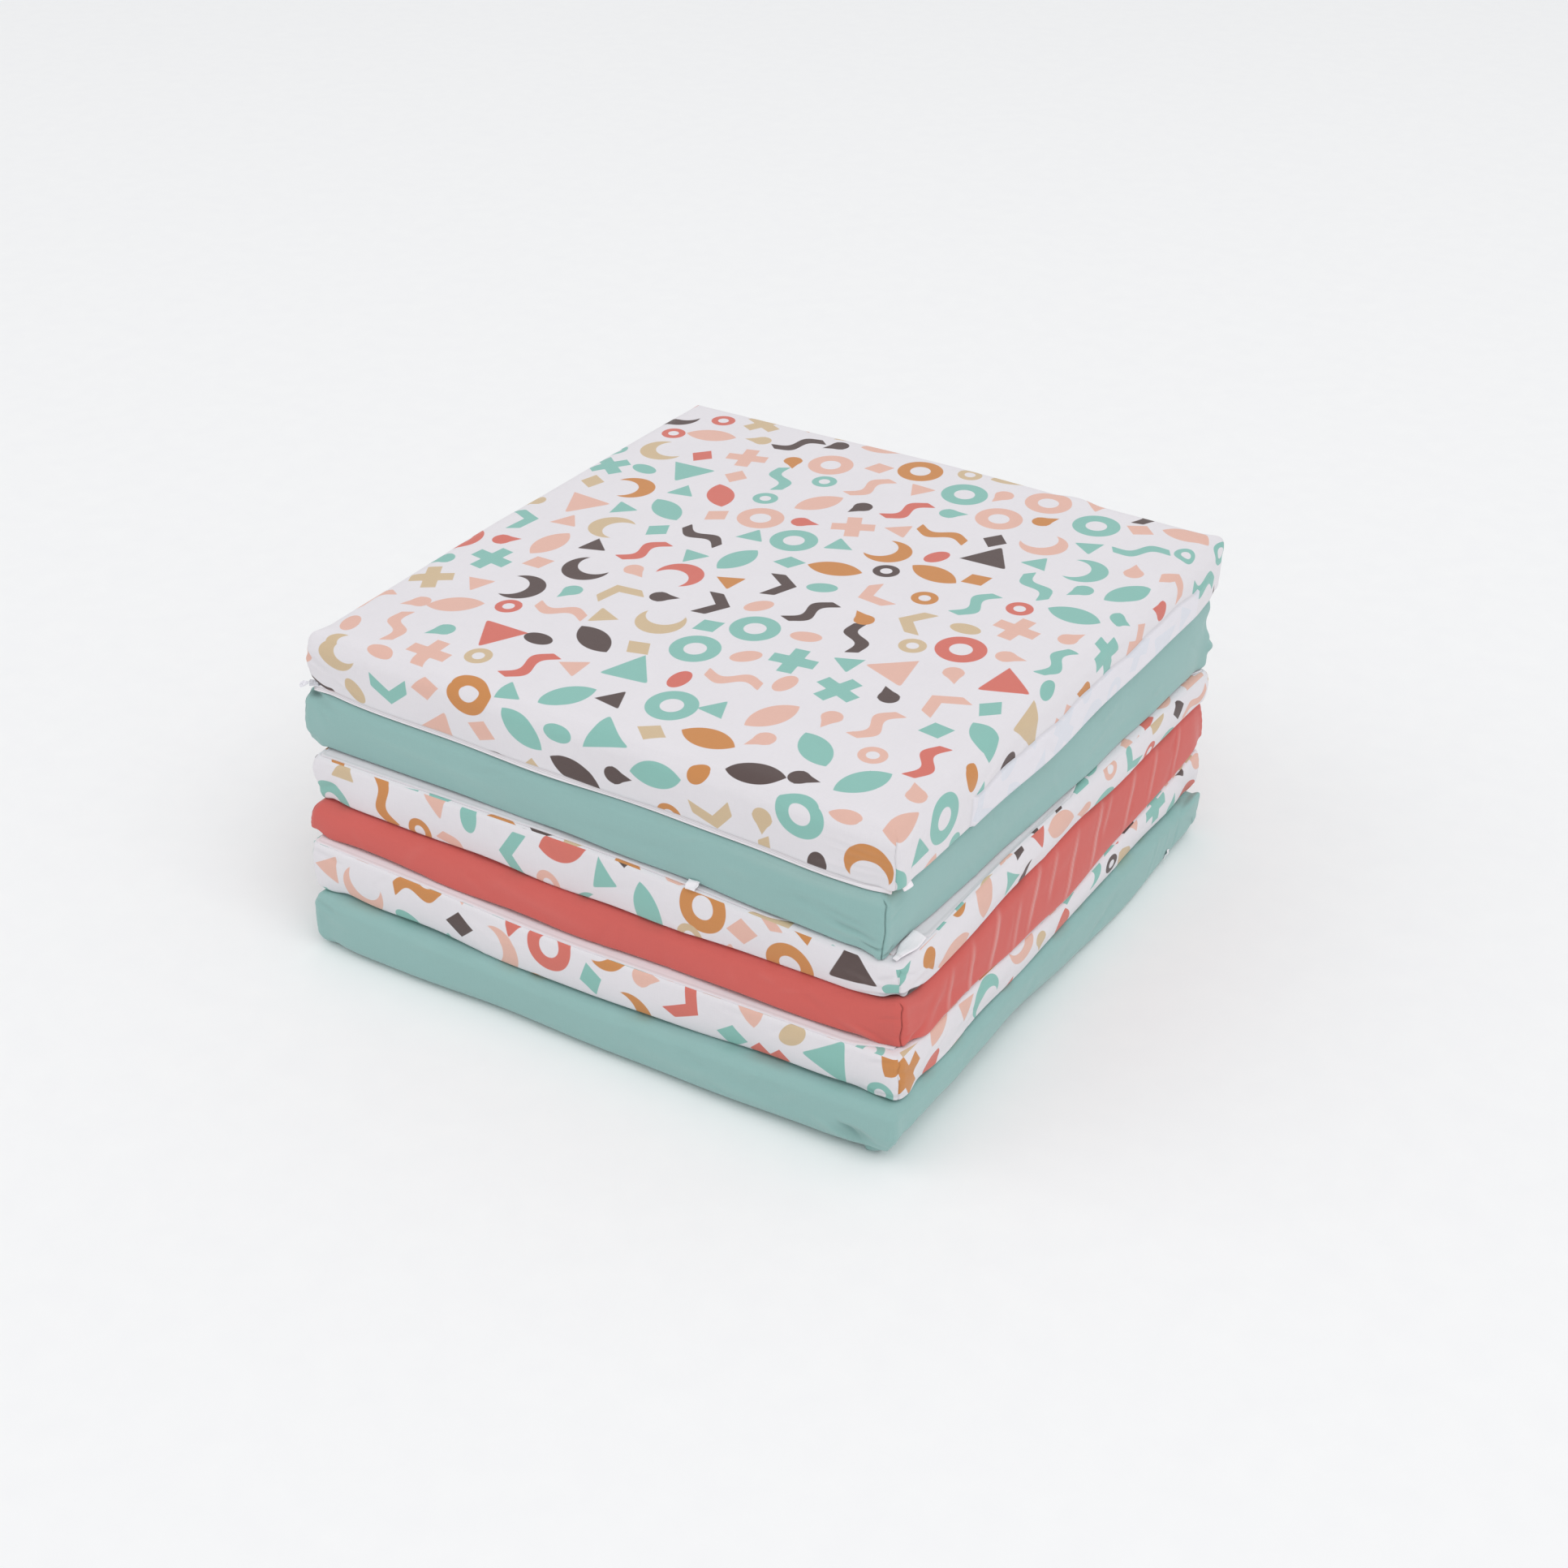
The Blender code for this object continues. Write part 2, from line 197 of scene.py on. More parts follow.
# Folds placed one by one on each panel, from the top, by side: place along it from its middle to the
# right as seen from outside, part of the height, heading, length, width, how proud and shade.
PLACED_FOLDS = (
    {
        Side.FRONT: (
            (266, 0.60, -5, 52, 3.0, 1.0),
            (272, 0.47, -1, 56, 2.6, 1.0),
            (278, 0.34, 4, 50, 2.4, 1.0),
            (262, 0.20, 3, 64, 3.0, 0.9),
            (-285, 0.45, -30, 46, 4.0, -1.2),
            (-268, 0.30, -16, 60, 3.4, 1.0),
        ),
        Side.RIGHT: (
            (-286, 0.55, 60, 30, 3.0, 0.9),
            (-276, 0.35, 70, 26, 3.0, -0.9),
            (-150, 0.62, 20, 60, 4.0, 0.9),
            (-90, 0.66, 32, 40, 3.5, 0.8),
            (60, 0.64, 24, 50, 4.0, 0.9),
        ),
    },
    {
        Side.FRONT: (
            (290, 0.17, -3, 19, 1.1, -1.5, 0.34),
            (276, 0.33, -6, 38, 2.4, -1.6, 0.06),
            (264, 0.52, -10, 44, 3.0, -1.2, 0.02),
            (272, 0.22, -4, 40, 3.0, 1.2),
            (248, 0.45, -14, 66, 5.0, -1.2),
            (-286, 0.90, -12, 46, 5.0, -3.0),
            (-150, 0.52, -4, 150, 6.0, 0.8),
            (60, 0.46, 3, 130, 6.0, -0.8),
        ),
        Side.RIGHT: ((-296, 0.09, 14, 13, 1.1, -1.5, 0.3), (-290, 0.62, 8, 22, 2.2, -0.8)),
        Side.LEFT: ((292, 0.88, 10, 30, 5.0, -2.4),),
    },
    {
        Side.FRONT: (
            (286, 0.09, 3, 44, 1.8, -2.2),
            (291, 0.66, 24, 26, 2.2, -1.2),
            (275, 0.48, -8, 44, 3.0, 0.9),
            (-288, 0.35, 20, 34, 3.4, -1.2),
        ),
        Side.RIGHT: (
            (-290, 0.09, -3, 34, 1.8, -2.2),
            (-293, 0.72, -24, 26, 2.0, -1.4),
            (-272, 0.42, 16, 40, 3.0, 0.9),
        ),
    },
    {
        Side.FRONT: (
            (292, 0.62, 10, 20, 1.8, -1.0),
            (284, 0.12, -16, 44, 2.4, -1.4),
            (262, 0.22, -12, 54, 3.4, 1.0),
            (236, 0.42, -22, 60, 4.0, -0.9),
            (-60, 0.60, -6, 120, 6.0, 0.8),
        ),
        Side.RIGHT: (
            (-298, 0.08, 30, 16, 1.8, 1.8),
            (-288, 0.12, 20, 30, 2.2, -1.6),
            (-262, 0.34, 26, 60, 4.0, 1.2),
        ),
    },
    {
        Side.FRONT: (
            (286, 0.10, 3, 36, 1.8, -1.6),
            (288, 0.86, 16, 30, 2.2, -1.4),
            (-284, 0.80, -8, 40, 3.0, -1.2),
        ),
        Side.RIGHT: ((-288, 0.60, -20, 30, 3.0, -1.0), (-240, 0.50, 30, 40, 3.0, 0.9)),
    },
    {
        Side.FRONT: (
            (268, 0.30, -38, 46, 2.4, -2.4),
            (252, 0.24, -26, 60, 4.0, 1.6),
            (-291, 0.86, -12, 30, 3.0, -2.2),
            (120, 0.40, -4, 160, 7.0, 1.0),
        ),
        Side.RIGHT: (
            (-280, 0.44, 16, 52, 2.0, -2.2),
            (-268, 0.26, 24, 50, 3.4, 1.6),
            (196, 0.60, 52, 46, 2.6, 1.0),
            (222, 0.58, 56, 40, 2.6, 1.0),
            (246, 0.60, 60, 34, 2.4, -1.0),
            (-90, 0.30, 14, 110, 5.0, 1.0),
            (60, 0.34, 18, 110, 5.0, -1.0),
        ),
    },
)

# Pale streaks across the right side of the coral panel, partly rubbed wear and partly painted sheen
# highlight along crease ridges: place, part of the height, heading, length and how pale each is.
# All are as wide and proud as the numbers below say.
STREAKS = (
    (-232, 0.40, 48, 34, 0.5),
    (-196, 0.36, 52, 44, 0.8),
    (-150, 0.52, 44, 50, 1.0),
    (-112, 0.40, 47, 40, 0.6),
    (-74, 0.56, 42, 56, 1.0),
    (-36, 0.62, 45, 40, 0.7),
    (-2, 0.44, 44, 60, 1.0),
    (52, 0.50, 46, 58, 1.0),
    (78, 0.66, 42, 34, 0.5),
    (122, 0.48, 45, 54, 0.8),
    (172, 0.52, 44, 48, 0.6),
    (226, 0.50, 46, 44, 0.5),
)
STREAK_WIDE = 2.6
STREAK_PROUD = 1.5
STREAK_PALE = -0.34


@dataclass(frozen=True)
class Nudge:
    """A soft pull on the cloth near a place, and how much painted shade it adds there, or painted light
    where below 0. Millimetres.
    """

    place: tuple[float, float, float]
    reach: tuple[float, float, float]
    pull: tuple[float, float, float]
    shade: float = 0.0


# Soft pulls on each panel, from the top, in the frame of the stack. Those with a shade paint shade into
# hollows, slits and folds; the one below 0 paints a paler band along the teal's upper front edge.
NUDGES = (
    (
        Nudge((297, 313, 292), (24, 24, 18), (3, 3, 2)),
        Nudge((298, 306, 231), (18, 28, 13), (-4.5, -3, 2)),
        Nudge((150, 314, 300), (30, 30, 14), (0, 3, 3)),
        Nudge((286, -291, 228), (14, 8, 10), (0, -1, 0.6)),
        Nudge((-312, -284, 285), (20, 36, 16), (-3, -1, 3.5)),
        Nudge((-313, -288, 258), (14, 22, 18), (-2.5, -1, 0)),
    ),
    (
        Nudge((293, 306, 180), (10, 14, 9), (5, 3, -1)),
        Nudge((293, 306, 206), (14, 26, 18), (-4.5, -3, 0)),
        Nudge((286, -297, 172), (12, 12, 9), (0, -2.5, -3)),
        Nudge((296, -235, 170), (14, 60, 16), (0.5, 0, -3)),
        # Painted shade in the hollow at the teal's left corner.
        Nudge((-307, -290, 226.5), (17, 12, 4.5), (2, 6, -1), 0.85),
        Nudge((-297, -292, 226), (14, 8, 3), (0, 4, -2), 0.6),
        Nudge((-316, -292, 216), (16, 30, 22), (1.7, 0.3, 0)),
        Nudge((-314, -290, 176), (16, 16, 14), (3.5, 2.5, 1)),
        # Painted light: a paler band along the rounded upper edge of the teal's front.
        Nudge((215, -298, 221), (110, 14, 9), (0, 0, 0), -0.07),
        Nudge((292, -180, 167), (16, 90, 20), (3.4, 0, -1.2)),
        Nudge((292, -50, 167), (16, 150, 20), (3.4, 0, -1)),
        Nudge((292, 120, 165), (16, 150, 20), (3.2, 0, -1)),
    ),
    (
        Nudge((300, -300, 139), (24, 24, 3.5), (0, 2, 0.5), 0.35),
        Nudge((303, -283, 134), (9, 18, 10), (2, 0, -2)),
        Nudge((-296, -303, 160), (16, 16, 16), (-3, -1, 0)),
        Nudge((304, -110, 166), (16, 190, 16), (-1.5, 0, 3.2)),
    ),
    (
        Nudge((306, -308, 86), (12, 12, 8), (1, -2, -3)),
        Nudge((309, -300, 88), (8, 8, 6), (2, 0, -2), 0.2),
        Nudge((290, -306, 96), (40, 10, 12), (0, -2, -2)),
        Nudge((310, 0, 84), (22, 330, 24), (2.5, 0, -3)),
        Nudge((311, -252, 86), (18, 100, 24), (7.5, 0, -2.5)),
        Nudge((250, -312, 87), (40, 18, 14), (0, 1.5, 8)),
    ),
    (
        Nudge((308, -327, 48), (9, 9, 7), (0, -1, 1.5)),
        Nudge((314, -230, 48), (14, 110, 16), (3.5, 0, -1.5)),
        Nudge((-293, -330, 54), (14, 12, 10), (-2, -3, -2)),
    ),
    (
        Nudge((321, 262, 45), (10, 50, 24), (5, 1, 14)),
        Nudge((316, 250, 52), (6, 46, 7), (0, 0, -3), 0.5),
        Nudge((306, -338, 6), (16, 14, 14), (6, -5, -2)),
        Nudge((284, -338, 22), (24, 12, 12), (0, 5, 2), 0.16),
        Nudge((318, -275, 10), (22, 75, 24), (-8.5, 0, 2)),
        Nudge((316, -215, 10), (22, 60, 24), (-3.5, 0, 1)),
        Nudge((298, -322, 2), (13, 16, 9), (-5, -8, 0)),
    ),
)


def smooth_step(value: Floats | float) -> Floats | float:
    """Rise softly from 0 to 1.

    Args:
        value: Numbers, of which those below 0 and above 1 are held there.

    Returns:
        0 where the value is below 0, 1 where it is above 1, and a soft rise between.
    """
    part = np.clip(value, 0.0, 1.0)
    return part * part * (3 - 2 * part)


def hump(value: Floats, middle: Floats | float = 0.0, reach: float = 1.0) -> Floats:
    """A bell of height 1 about its middle, which falls to 1/e at its reach."""
    return np.exp(-(((value - middle) / reach) ** 2))


def stretch(value: Floats, start: float, end: float, fade_in: float, fade_out: float) -> Floats:
    """Rise softly from 0 to 1 after a start and fall back to 0 ahead of an end.

    Args:
        value: Where it is asked for.
        start: Where the rise begins.
        end: Where the fall ends.
        fade_in: Length of the rise.
        fade_out: Length of the fall.

    Returns:
        The height there, from 0 to 1.
    """
    return smooth_step((value - start) / fade_in) * smooth_step((end - value) / fade_out)


def turned(x: Floats, y: Floats, degrees: float) -> tuple[Floats, Floats]:
    """Places in plan, turned about the origin."""
    turn = math.radians(degrees)
    return x * math.cos(turn) - y * math.sin(turn), x * math.sin(turn) + y * math.cos(turn)


def square_reach(a: Floats, b: Floats) -> Floats:
    """How far out places on a square of -1 to 1 are, from 0 in its middle to 1 on its rim."""
    return np.maximum(np.maximum(np.abs(a), np.abs(b)), TINY)


def waves(table: tuple[Wave, ...], along: Floats, index: int) -> Floats:
    """Add up the waves of a table along a side.

    Args:
        table: The waves.
        along: Distance along the side, in metres.
        index: Number of the panel, from the top.

    Returns:
        The sum of the waves, in metres.
    """
    return sum(w.height * np.sin(along / w.length + w.step * index) for w in table)


def level_height(level: int, x: Floats, y: Floats) -> Floats:
    """Height of a level of the stack: its middle, bent to the rim's own height all round.

    Args:
        level: Number of the level, 0 at the surface below and 6 on top.
        x: Places along X, in metres.
        y: Places along Y, in metres.

    Returns:
        Heights in metres.
    """
    middle, rim = LEVELS[level][0], np.array(LEVELS[level][1:], float)
    turn = np.arctan2(y, x) / math.tau * len(rim) % len(rim)
    station = np.floor(turn).astype(int) % len(rim)
    blend = smooth_step(turn - np.floor(turn))
    edge = rim[station] * (1 - blend) + rim[(station + 1) % len(rim)] * blend
    reach = (np.abs(x / HALF) ** SQUARENESS + np.abs(y / HALF) ** SQUARENESS) ** (1 / SQUARENESS)
    dips = sum(
        rise * np.exp(-((x / MM - across) ** 2 + (y / MM - along) ** 2) / wide**2)
        for at, across, along, wide, rise in DIPS
        if at == level
    )
    return MM * (middle + (edge - middle) * reach**2 + dips)


def rounded(inset: Floats, depth: Floats, radius: Floats | float) -> tuple[Floats, Floats]:
    """Move points of a square edge, given by their two distances, onto a round one.

    Args:
        inset: Distance in from the side.
        depth: Distance from the face.
        radius: Radius of the edge.

    Returns:
        The two distances on the round edge.
    """
    across = np.maximum(radius - inset, 0.0)
    along = np.maximum(radius - depth, 0.0)
    reach = np.maximum(np.hypot(across, along), TINY)
    at_edge = (inset < radius) & (depth < radius)
    return (
        np.where(at_edge, radius - radius * across / reach, inset),
        np.where(at_edge, radius - radius * along / reach, depth),
    )


def plan_place(a: Floats, b: Floats, inset: Floats) -> tuple[Floats, Floats]:
    """Places in plan on the outline that runs inside the panel's own at the given inset.

    Args:
        a: First coordinate on the block from -1 to 1.
        b: Second coordinate on the block.
        inset: Distance in from the panel's outline, in metres.

    Returns:
        The two plan coordinates in metres, before the panel is turned and shifted.
    """
    reach = square_reach(a, b)
    half = HALF - inset
    x, y = a / reach * half, b / reach * half
    radius = np.maximum(CORNER_RADIUS - inset, MM)
    square = half - radius
    core_x, core_y = np.clip(x, -square, square), np.clip(y, -square, square)
    out = np.maximum(np.hypot(x - core_x, y - core_y), 1e-12)
    scale = np.where(out > radius, radius / out, 1.0)
    return core_x + (x - core_x) * scale, core_y + (y - core_y) * scale


def outward(x: Floats, y: Floats) -> tuple[Floats, Floats]:
    """The way out of the panel in plan, square to a side and turning at a corner.

    Args:
        x: Places along X before the panel is turned, in metres.
        y: Places along Y before the panel is turned, in metres.

    Returns:
        The two parts of the unit way out.
    """
    way_x = x / HALF * np.abs(x / HALF) ** SQUARENESS
    way_y = y / HALF * np.abs(y / HALF) ** SQUARENESS
    length = np.maximum(np.hypot(way_x, way_y), 1e-30)
    return way_x / length, way_y / length


def facing(side: Side, x: Floats, y: Floats) -> tuple[Floats, Floats]:
    """How much places belong to a side, and where along it they are.

    Args:
        side: The side.
        x: Places along X before the panel is turned, in metres.
        y: Places along Y before the panel is turned, in metres.

    Returns:
        1 on the side and 0 away from it, and the distance along it in millimetres.
    """
    way_x, way_y = outward(x, y)
    out_x, out_y = side.value
    return smooth_step(2 * (way_x * out_x + way_y * out_y) - 0.6), (out_x * y - out_y * x) / MM


# Width of a ring on the end of a drum of radius 1, before the ring is put in its place.
RING = 0.03


class Bench:
    """The modelling steps that the pieces share."""

    @staticmethod
    def block(name: str, cuts: tuple[tuple[int, ...], ...]) -> bpy.types.Object:
        """Cut a cube from -1 to 1 into even strips on each axis.

        Args:
            name: Name of the new piece.
            cuts: For each axis, the number of cuts in each pass over it.

        Returns:
            The cut cube.
        """
        bpy.ops.object.select_all(action="DESELECT")
        bpy.ops.mesh.primitive_cube_add(size=2.0, location=(0, 0, 0))
        piece = bpy.context.active_object
        piece.name = piece.data.name = name
        for axis, passes in enumerate(cuts):
            for count in passes:
                Bench.cut_along(piece.data, axis, count)
        return piece

    @staticmethod
    def drum(name: str, around: int, rows: int, top_rings: int, foot_rings: int) -> bpy.types.Object:
        """Cut a drum into even rows, and each of its ends into rings round a middle point.

        Args:
            name: Name of the new piece.
            around: Number of strips round the drum, a multiple of 4.
            rows: Number of rows up its side.
            top_rings: Number of rings on its upper end.
            foot_rings: Number of rings on its lower end.

        Returns:
            The cut drum, of radius 1 and from -1 to 1 along Z.
        """
        bpy.ops.object.select_all(action="DESELECT")
        bpy.ops.mesh.primitive_cylinder_add(vertices=around, radius=1.0, depth=2.0, location=(0, 0, 0))
        piece = bpy.context.active_object
        piece.name = piece.data.name = name
        if rows > 1:
            Bench.cut_along(piece.data, 2, rows - 1)
        bpy.context.tool_settings.mesh_select_mode = (False, False, True)
        for end, rings in ((1, top_rings), (-1, foot_rings)):
            for face in piece.data.polygons:
                face.select = len(face.vertices) > 4 and face.center.z * end > 0
            bpy.ops.object.mode_set(mode="EDIT")
            for _ in range(rings):
                bpy.ops.mesh.inset(thickness=RING)
            bpy.ops.mesh.poke()
            bpy.ops.object.mode_set(mode="OBJECT")
        return piece

    @staticmethod
    def unroll(mesh: bpy.types.Mesh, top: tuple[float, ...], foot: tuple[float, ...]) -> Floats:
        """Find where each point of a drum lies on a square block.

        Args:
            mesh: The cut drum.
            top: Distance of each upper ring from the rim, in millimetres.
            foot: Distance of each lower ring from the rim, in millimetres.

        Returns:
            Three columns from -1 to 1: across, along and up the block.
        """
        x, y, z = Bench.places(mesh).T
        radius = np.hypot(x, y)
        on_rim = np.count_nonzero(np.abs(radius - 1) < RING / 2)
        per_side = int(round(on_rim / np.unique(np.round(z, 4)).size / 4))
        step = np.round(np.arctan2(y, x) / math.tau * 4 * per_side).astype(int) % (4 * per_side)
        side, part = step // per_side, Bench.spread(2 * (step % per_side) / per_side - 1)
        one = np.ones_like(part)
        a, b = np.choose(side, (one, -part, -one, part)), np.choose(side, (part, one, -part, -one))
        ring = np.round((1 - radius) / RING).astype(int)
        insets = np.zeros_like(x)
        for end, table in ((1, top), (-1, foot)):
            row = np.append(0.0, np.append(table, HALF / MM)) * MM
            insets = np.where(z * end > ON_END, row[np.minimum(ring, len(table) + 1)], insets)
        reach = 1 - insets / HALF
        return np.stack((a * reach, b * reach, z), axis=1)

    @staticmethod
    def spread(part: Floats) -> Floats:
        """Draw even cuts from -1 to 1 together towards both ends."""
        inner = 1 - np.abs(part)
        return np.sign(part) * (1 - (0.5 * inner + 0.5 * inner**2))

    @staticmethod
    def cut_along(mesh: bpy.types.Mesh, axis: int, count: int) -> None:
        """Cut the edges that run along one axis, and no others, into even parts.

        Args:
            mesh: The mesh of the active object.
            axis: 0, 1 or 2.
            count: Number of cuts in each edge.
        """
        bpy.context.tool_settings.mesh_select_mode = (False, True, False)
        places = Bench.places(mesh)
        pairs = np.zeros(len(mesh.edges) * 2, np.int32)
        mesh.edges.foreach_get("vertices", pairs)
        run = np.abs(np.diff(places[pairs.reshape(-1, 2)], axis=1)[:, 0])
        chosen = run.argmax(axis=1) == axis
        mesh.polygons.foreach_set("select", np.zeros(len(mesh.polygons), bool))
        corners = np.zeros(len(mesh.vertices), bool)
        corners[pairs.reshape(-1, 2)[chosen].ravel()] = True
        mesh.vertices.foreach_set("select", corners)
        mesh.edges.foreach_set("select", chosen)
        bpy.ops.object.mode_set(mode="EDIT")
        bpy.ops.mesh.subdivide(number_cuts=count)
        bpy.ops.object.mode_set(mode="OBJECT")

    @staticmethod
    def take(piece: bpy.types.Object) -> None:
        """Select one piece alone and make it the active object."""
        bpy.ops.object.select_all(action="DESELECT")
        piece.select_set(True)
        bpy.context.view_layer.objects.active = piece

    @staticmethod
    def places(mesh: bpy.types.Mesh) -> Floats:
        """The vertices of a mesh as rows of three coordinates."""
        places = np.zeros(len(mesh.vertices) * 3)
        mesh.vertices.foreach_get("co", places)
        return places.reshape(-1, 3)

    @staticmethod
    def move(piece: bpy.types.Object, places: Floats) -> None:
        """Put the vertices of a piece in their places, with its faces outwards.

        Args:
            piece: The piece.
            places: Rows of three coordinates, in metres.
        """
        piece.data.vertices.foreach_set("co", places.astype(np.float32).ravel())
        piece.data.update()
        Bench.take(piece)
        bpy.ops.object.mode_set(mode="EDIT")
        bpy.ops.mesh.select_all(action="SELECT")
        bpy.ops.mesh.normals_make_consistent(inside=False)
        bpy.ops.object.mode_set(mode="OBJECT")
        bpy.ops.object.shade_smooth()

    @staticmethod
    def lay_map(mesh: bpy.types.Mesh, u: Floats, v: Floats) -> None:
        """Give every vertex its place on the cloth laid flat, with no cut in the map.

        Args:
            mesh: The mesh.
            u: First flat place of each vertex, in metres.
            v: Second flat place of each vertex, in metres.
        """
        corner = np.zeros(len(mesh.loops), np.int32)
        mesh.loops.foreach_get("vertex_index", corner)
        layer = mesh.uv_layers.active or mesh.uv_layers.new(name="cloth")
        layer.name = "cloth"
        layer.data.foreach_set("uv", np.stack((u, v), axis=1)[corner].astype(np.float32).ravel())

    @staticmethod
    def shade(mesh: bpy.types.Mesh, amount: Floats) -> None:
        """Darken the vertices of a mesh with painted shade, as in seams, creases and hollows; where the
        amount is below 0, pale them instead with painted highlight and wear.

        Args:
            mesh: The mesh.
            amount: For each vertex, 0 for none and 1 for black.
        """
        layer = mesh.attributes.new("shade", "FLOAT", "POINT")
        layer.data.foreach_set("value", amount.astype(np.float32))

    @staticmethod
    def fit(piece: bpy.types.Object, slot: Cloth, node: str, *materials: bpy.types.Material) -> None:
        """Dress a finished piece, and let it ride on the stack and stand for its CAD node.

        Args:
            piece: The piece.
            slot: The finish that it takes; not used.
            node: Name of the CAD node that it stands for.
            materials: The material of that finish, and any other that some of its faces have.
        """
        for material in materials:
            piece.data.materials.append(material)
        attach(piece, "root")
        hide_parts(node)


def linear(paint: Paint) -> tuple[float, float, float, float]:
    """Turn a colour of 0 to 255 as screens show it into the renderer's own numbers.

    Args:
        paint: Red, green and blue as a screen shows them.

    Returns:
        The same colour as linear red, green, blue and alpha.
    """
    parts = (c / 255 for c in paint)
    return (*(p / 12.92 if p <= 0.04045 else ((p + 0.055) / 1.055) ** 2.4 for p in parts), 1.0)


@dataclass(frozen=True)
class Signal:
    """A number that the nodes of a material work out, so that a pattern reads as a sum."""

    loom: "Loom"
    socket: bpy.types.NodeSocket

    def math(self, operation: str, *sources: object) -> "Signal":
        """The result of one Math node."""
        return self.loom.signal("ShaderNodeMath", *sources, operation=operation)

    def __add__(self, other: object) -> "Signal":
        """The sum of two numbers."""
        return self.math("ADD", self, other)

    def __sub__(self, other: object) -> "Signal":
        """The difference of two numbers."""
        return self.math("SUBTRACT", self, other)

    def __rsub__(self, other: object) -> "Signal":
        """The difference of two numbers, this one taken away."""
        return self.math("SUBTRACT", other, self)

    def __mul__(self, other: object) -> "Signal":
        """The product of two numbers."""
        return self.math("MULTIPLY", self, other)

    def __abs__(self) -> "Signal":
        """The size of the number without its sign."""
        return self.math("ABSOLUTE", self)

    def larger(self, other: object) -> "Signal":
        """The larger of two numbers."""
        return self.math("MAXIMUM", self, other)

    def larger_soft(self, other: object, blend: float) -> "Signal":
        """The larger of two numbers, with a soft change between them."""
        return self.math("SMOOTH_MAX", self, other, blend)

    def smaller_soft(self, other: object, blend: float) -> "Signal":
        """The smaller of two numbers, with a soft change between them."""
        return self.math("SMOOTH_MIN", self, other, blend)

    def sine(self) -> "Signal":
        """The sine of the number."""
        return self.math("SINE", self)

    def span(self, other: object) -> "Signal":
        """Distance from the middle of a place with this number across and the other along."""
        square = self.math("MULTIPLY_ADD", self, self, self.math("MULTIPLY", other, other))
        return self.math("SQRT", square)

    def between(self, low: float, high: float) -> "Signal":
        """Part of the way of the number from low to high, held between 0 and 1."""
        return self.loom.signal("ShaderNodeMapRange", self, low, high, 0.0, 1.0)


class Loom:
    """Adds the nodes of one material and joins them."""

    def __init__(self, name: str) -> None:
        """Start a material with its shader.

        Args:
            name: Name of the material.
        """
        self.material = bpy.data.materials.new(name)
        self.material.use_nodes = True
        self.tree = self.material.node_tree
        self.shader = self.tree.nodes["Principled BSDF"]

    def put(self, kind: str, *sources: object, **settings: object) -> bpy.types.Node:
        """Add a node and feed its inputs in order.

        Args:
            kind: Type of the node.
            sources: A socket or a value for each input in turn, or None to leave it.
            settings: Properties of the node.

        Returns:
            The new node.
        """
        node = self.tree.nodes.new(kind)
        for name, value in settings.items():
            setattr(node, name, value)
        for socket, source in zip(node.inputs, sources):
            if source is not None:
                self.join(source, socket)
        return node

    def join(self, source: object, socket: bpy.types.NodeSocket) -> None:
        """Link a signal or a socket to an input, or set the input to a value."""
        source = source.socket if isinstance(source, Signal) else source
        if isinstance(source, bpy.types.NodeSocket):
            self.tree.links.new(source, socket)
        else:
            socket.default_value = source

    def signal(self, kind: str, *sources: object, output: object = 0, **settings: object) -> Signal:
        """Add a node as put does, and take one of its outputs.

        Args:
            kind: Type of the node.
            sources: A signal, a socket or a value for each input in turn, or None to leave it.
            output: Number or name of the output.
            settings: Properties of the node.

        Returns:
            The output as a signal.
        """
        return Signal(self, self.put(kind, *sources, **settings).outputs[output])

    def vector(self, operation: str, *sources: object) -> Signal:
        """The result of one Vector Math node."""
        return self.signal("ShaderNodeVectorMath", *sources, operation=operation)

    def blend(self, part: object, first: object, second: object) -> Signal:
        """A colour between two colours.

        Args:
            part: 0 for the first colour and 1 for the second.
            first: Signal or colour.
            second: Signal or colour.

        Returns:
            The blended colour.
        """
        node = self.tree.nodes.new("ShaderNodeMix")
        node.data_type = "RGBA"
        for index, source in ((0, part), (6, first), (7, second)):
            self.join(source, node.inputs[index])
        return Signal(self, node.outputs[2])

    def noise(self, place: Signal, scale: float, detail: float = 2.0) -> Signal:
        """Soft noise from 0 to 1 at a scale in waves a metre."""
        node = self.put("ShaderNodeTexNoise", place)
        node.inputs["Scale"].default_value = scale
        node.inputs["Detail"].default_value = detail
        return Signal(self, node.outputs[0])

    def bump(self, height: Signal, distance: float, under: Signal | None = None) -> Signal:
        """Raise a surface by a height of 0 to 1 times a distance in metres.

        Args:
            height: The height.
            distance: How far a height of 1 stands out, in metres.
            under: A coarser bump below this one.

        Returns:
            The new normal.
        """
        node = self.tree.nodes.new("ShaderNodeBump")
        self.join(distance, node.inputs["Distance"])
        self.join(height, node.inputs["Height"])
        if under is not None:
            self.join(under, node.inputs["Normal"])
        return Signal(self, node.outputs[0])

    def feed(self, **sources: object) -> None:
        """Feed inputs of the shader, named with _ for a space, from signals or values."""
        for name, source in sources.items():
            self.join(source, self.shader.inputs[name.replace("_", " ")])


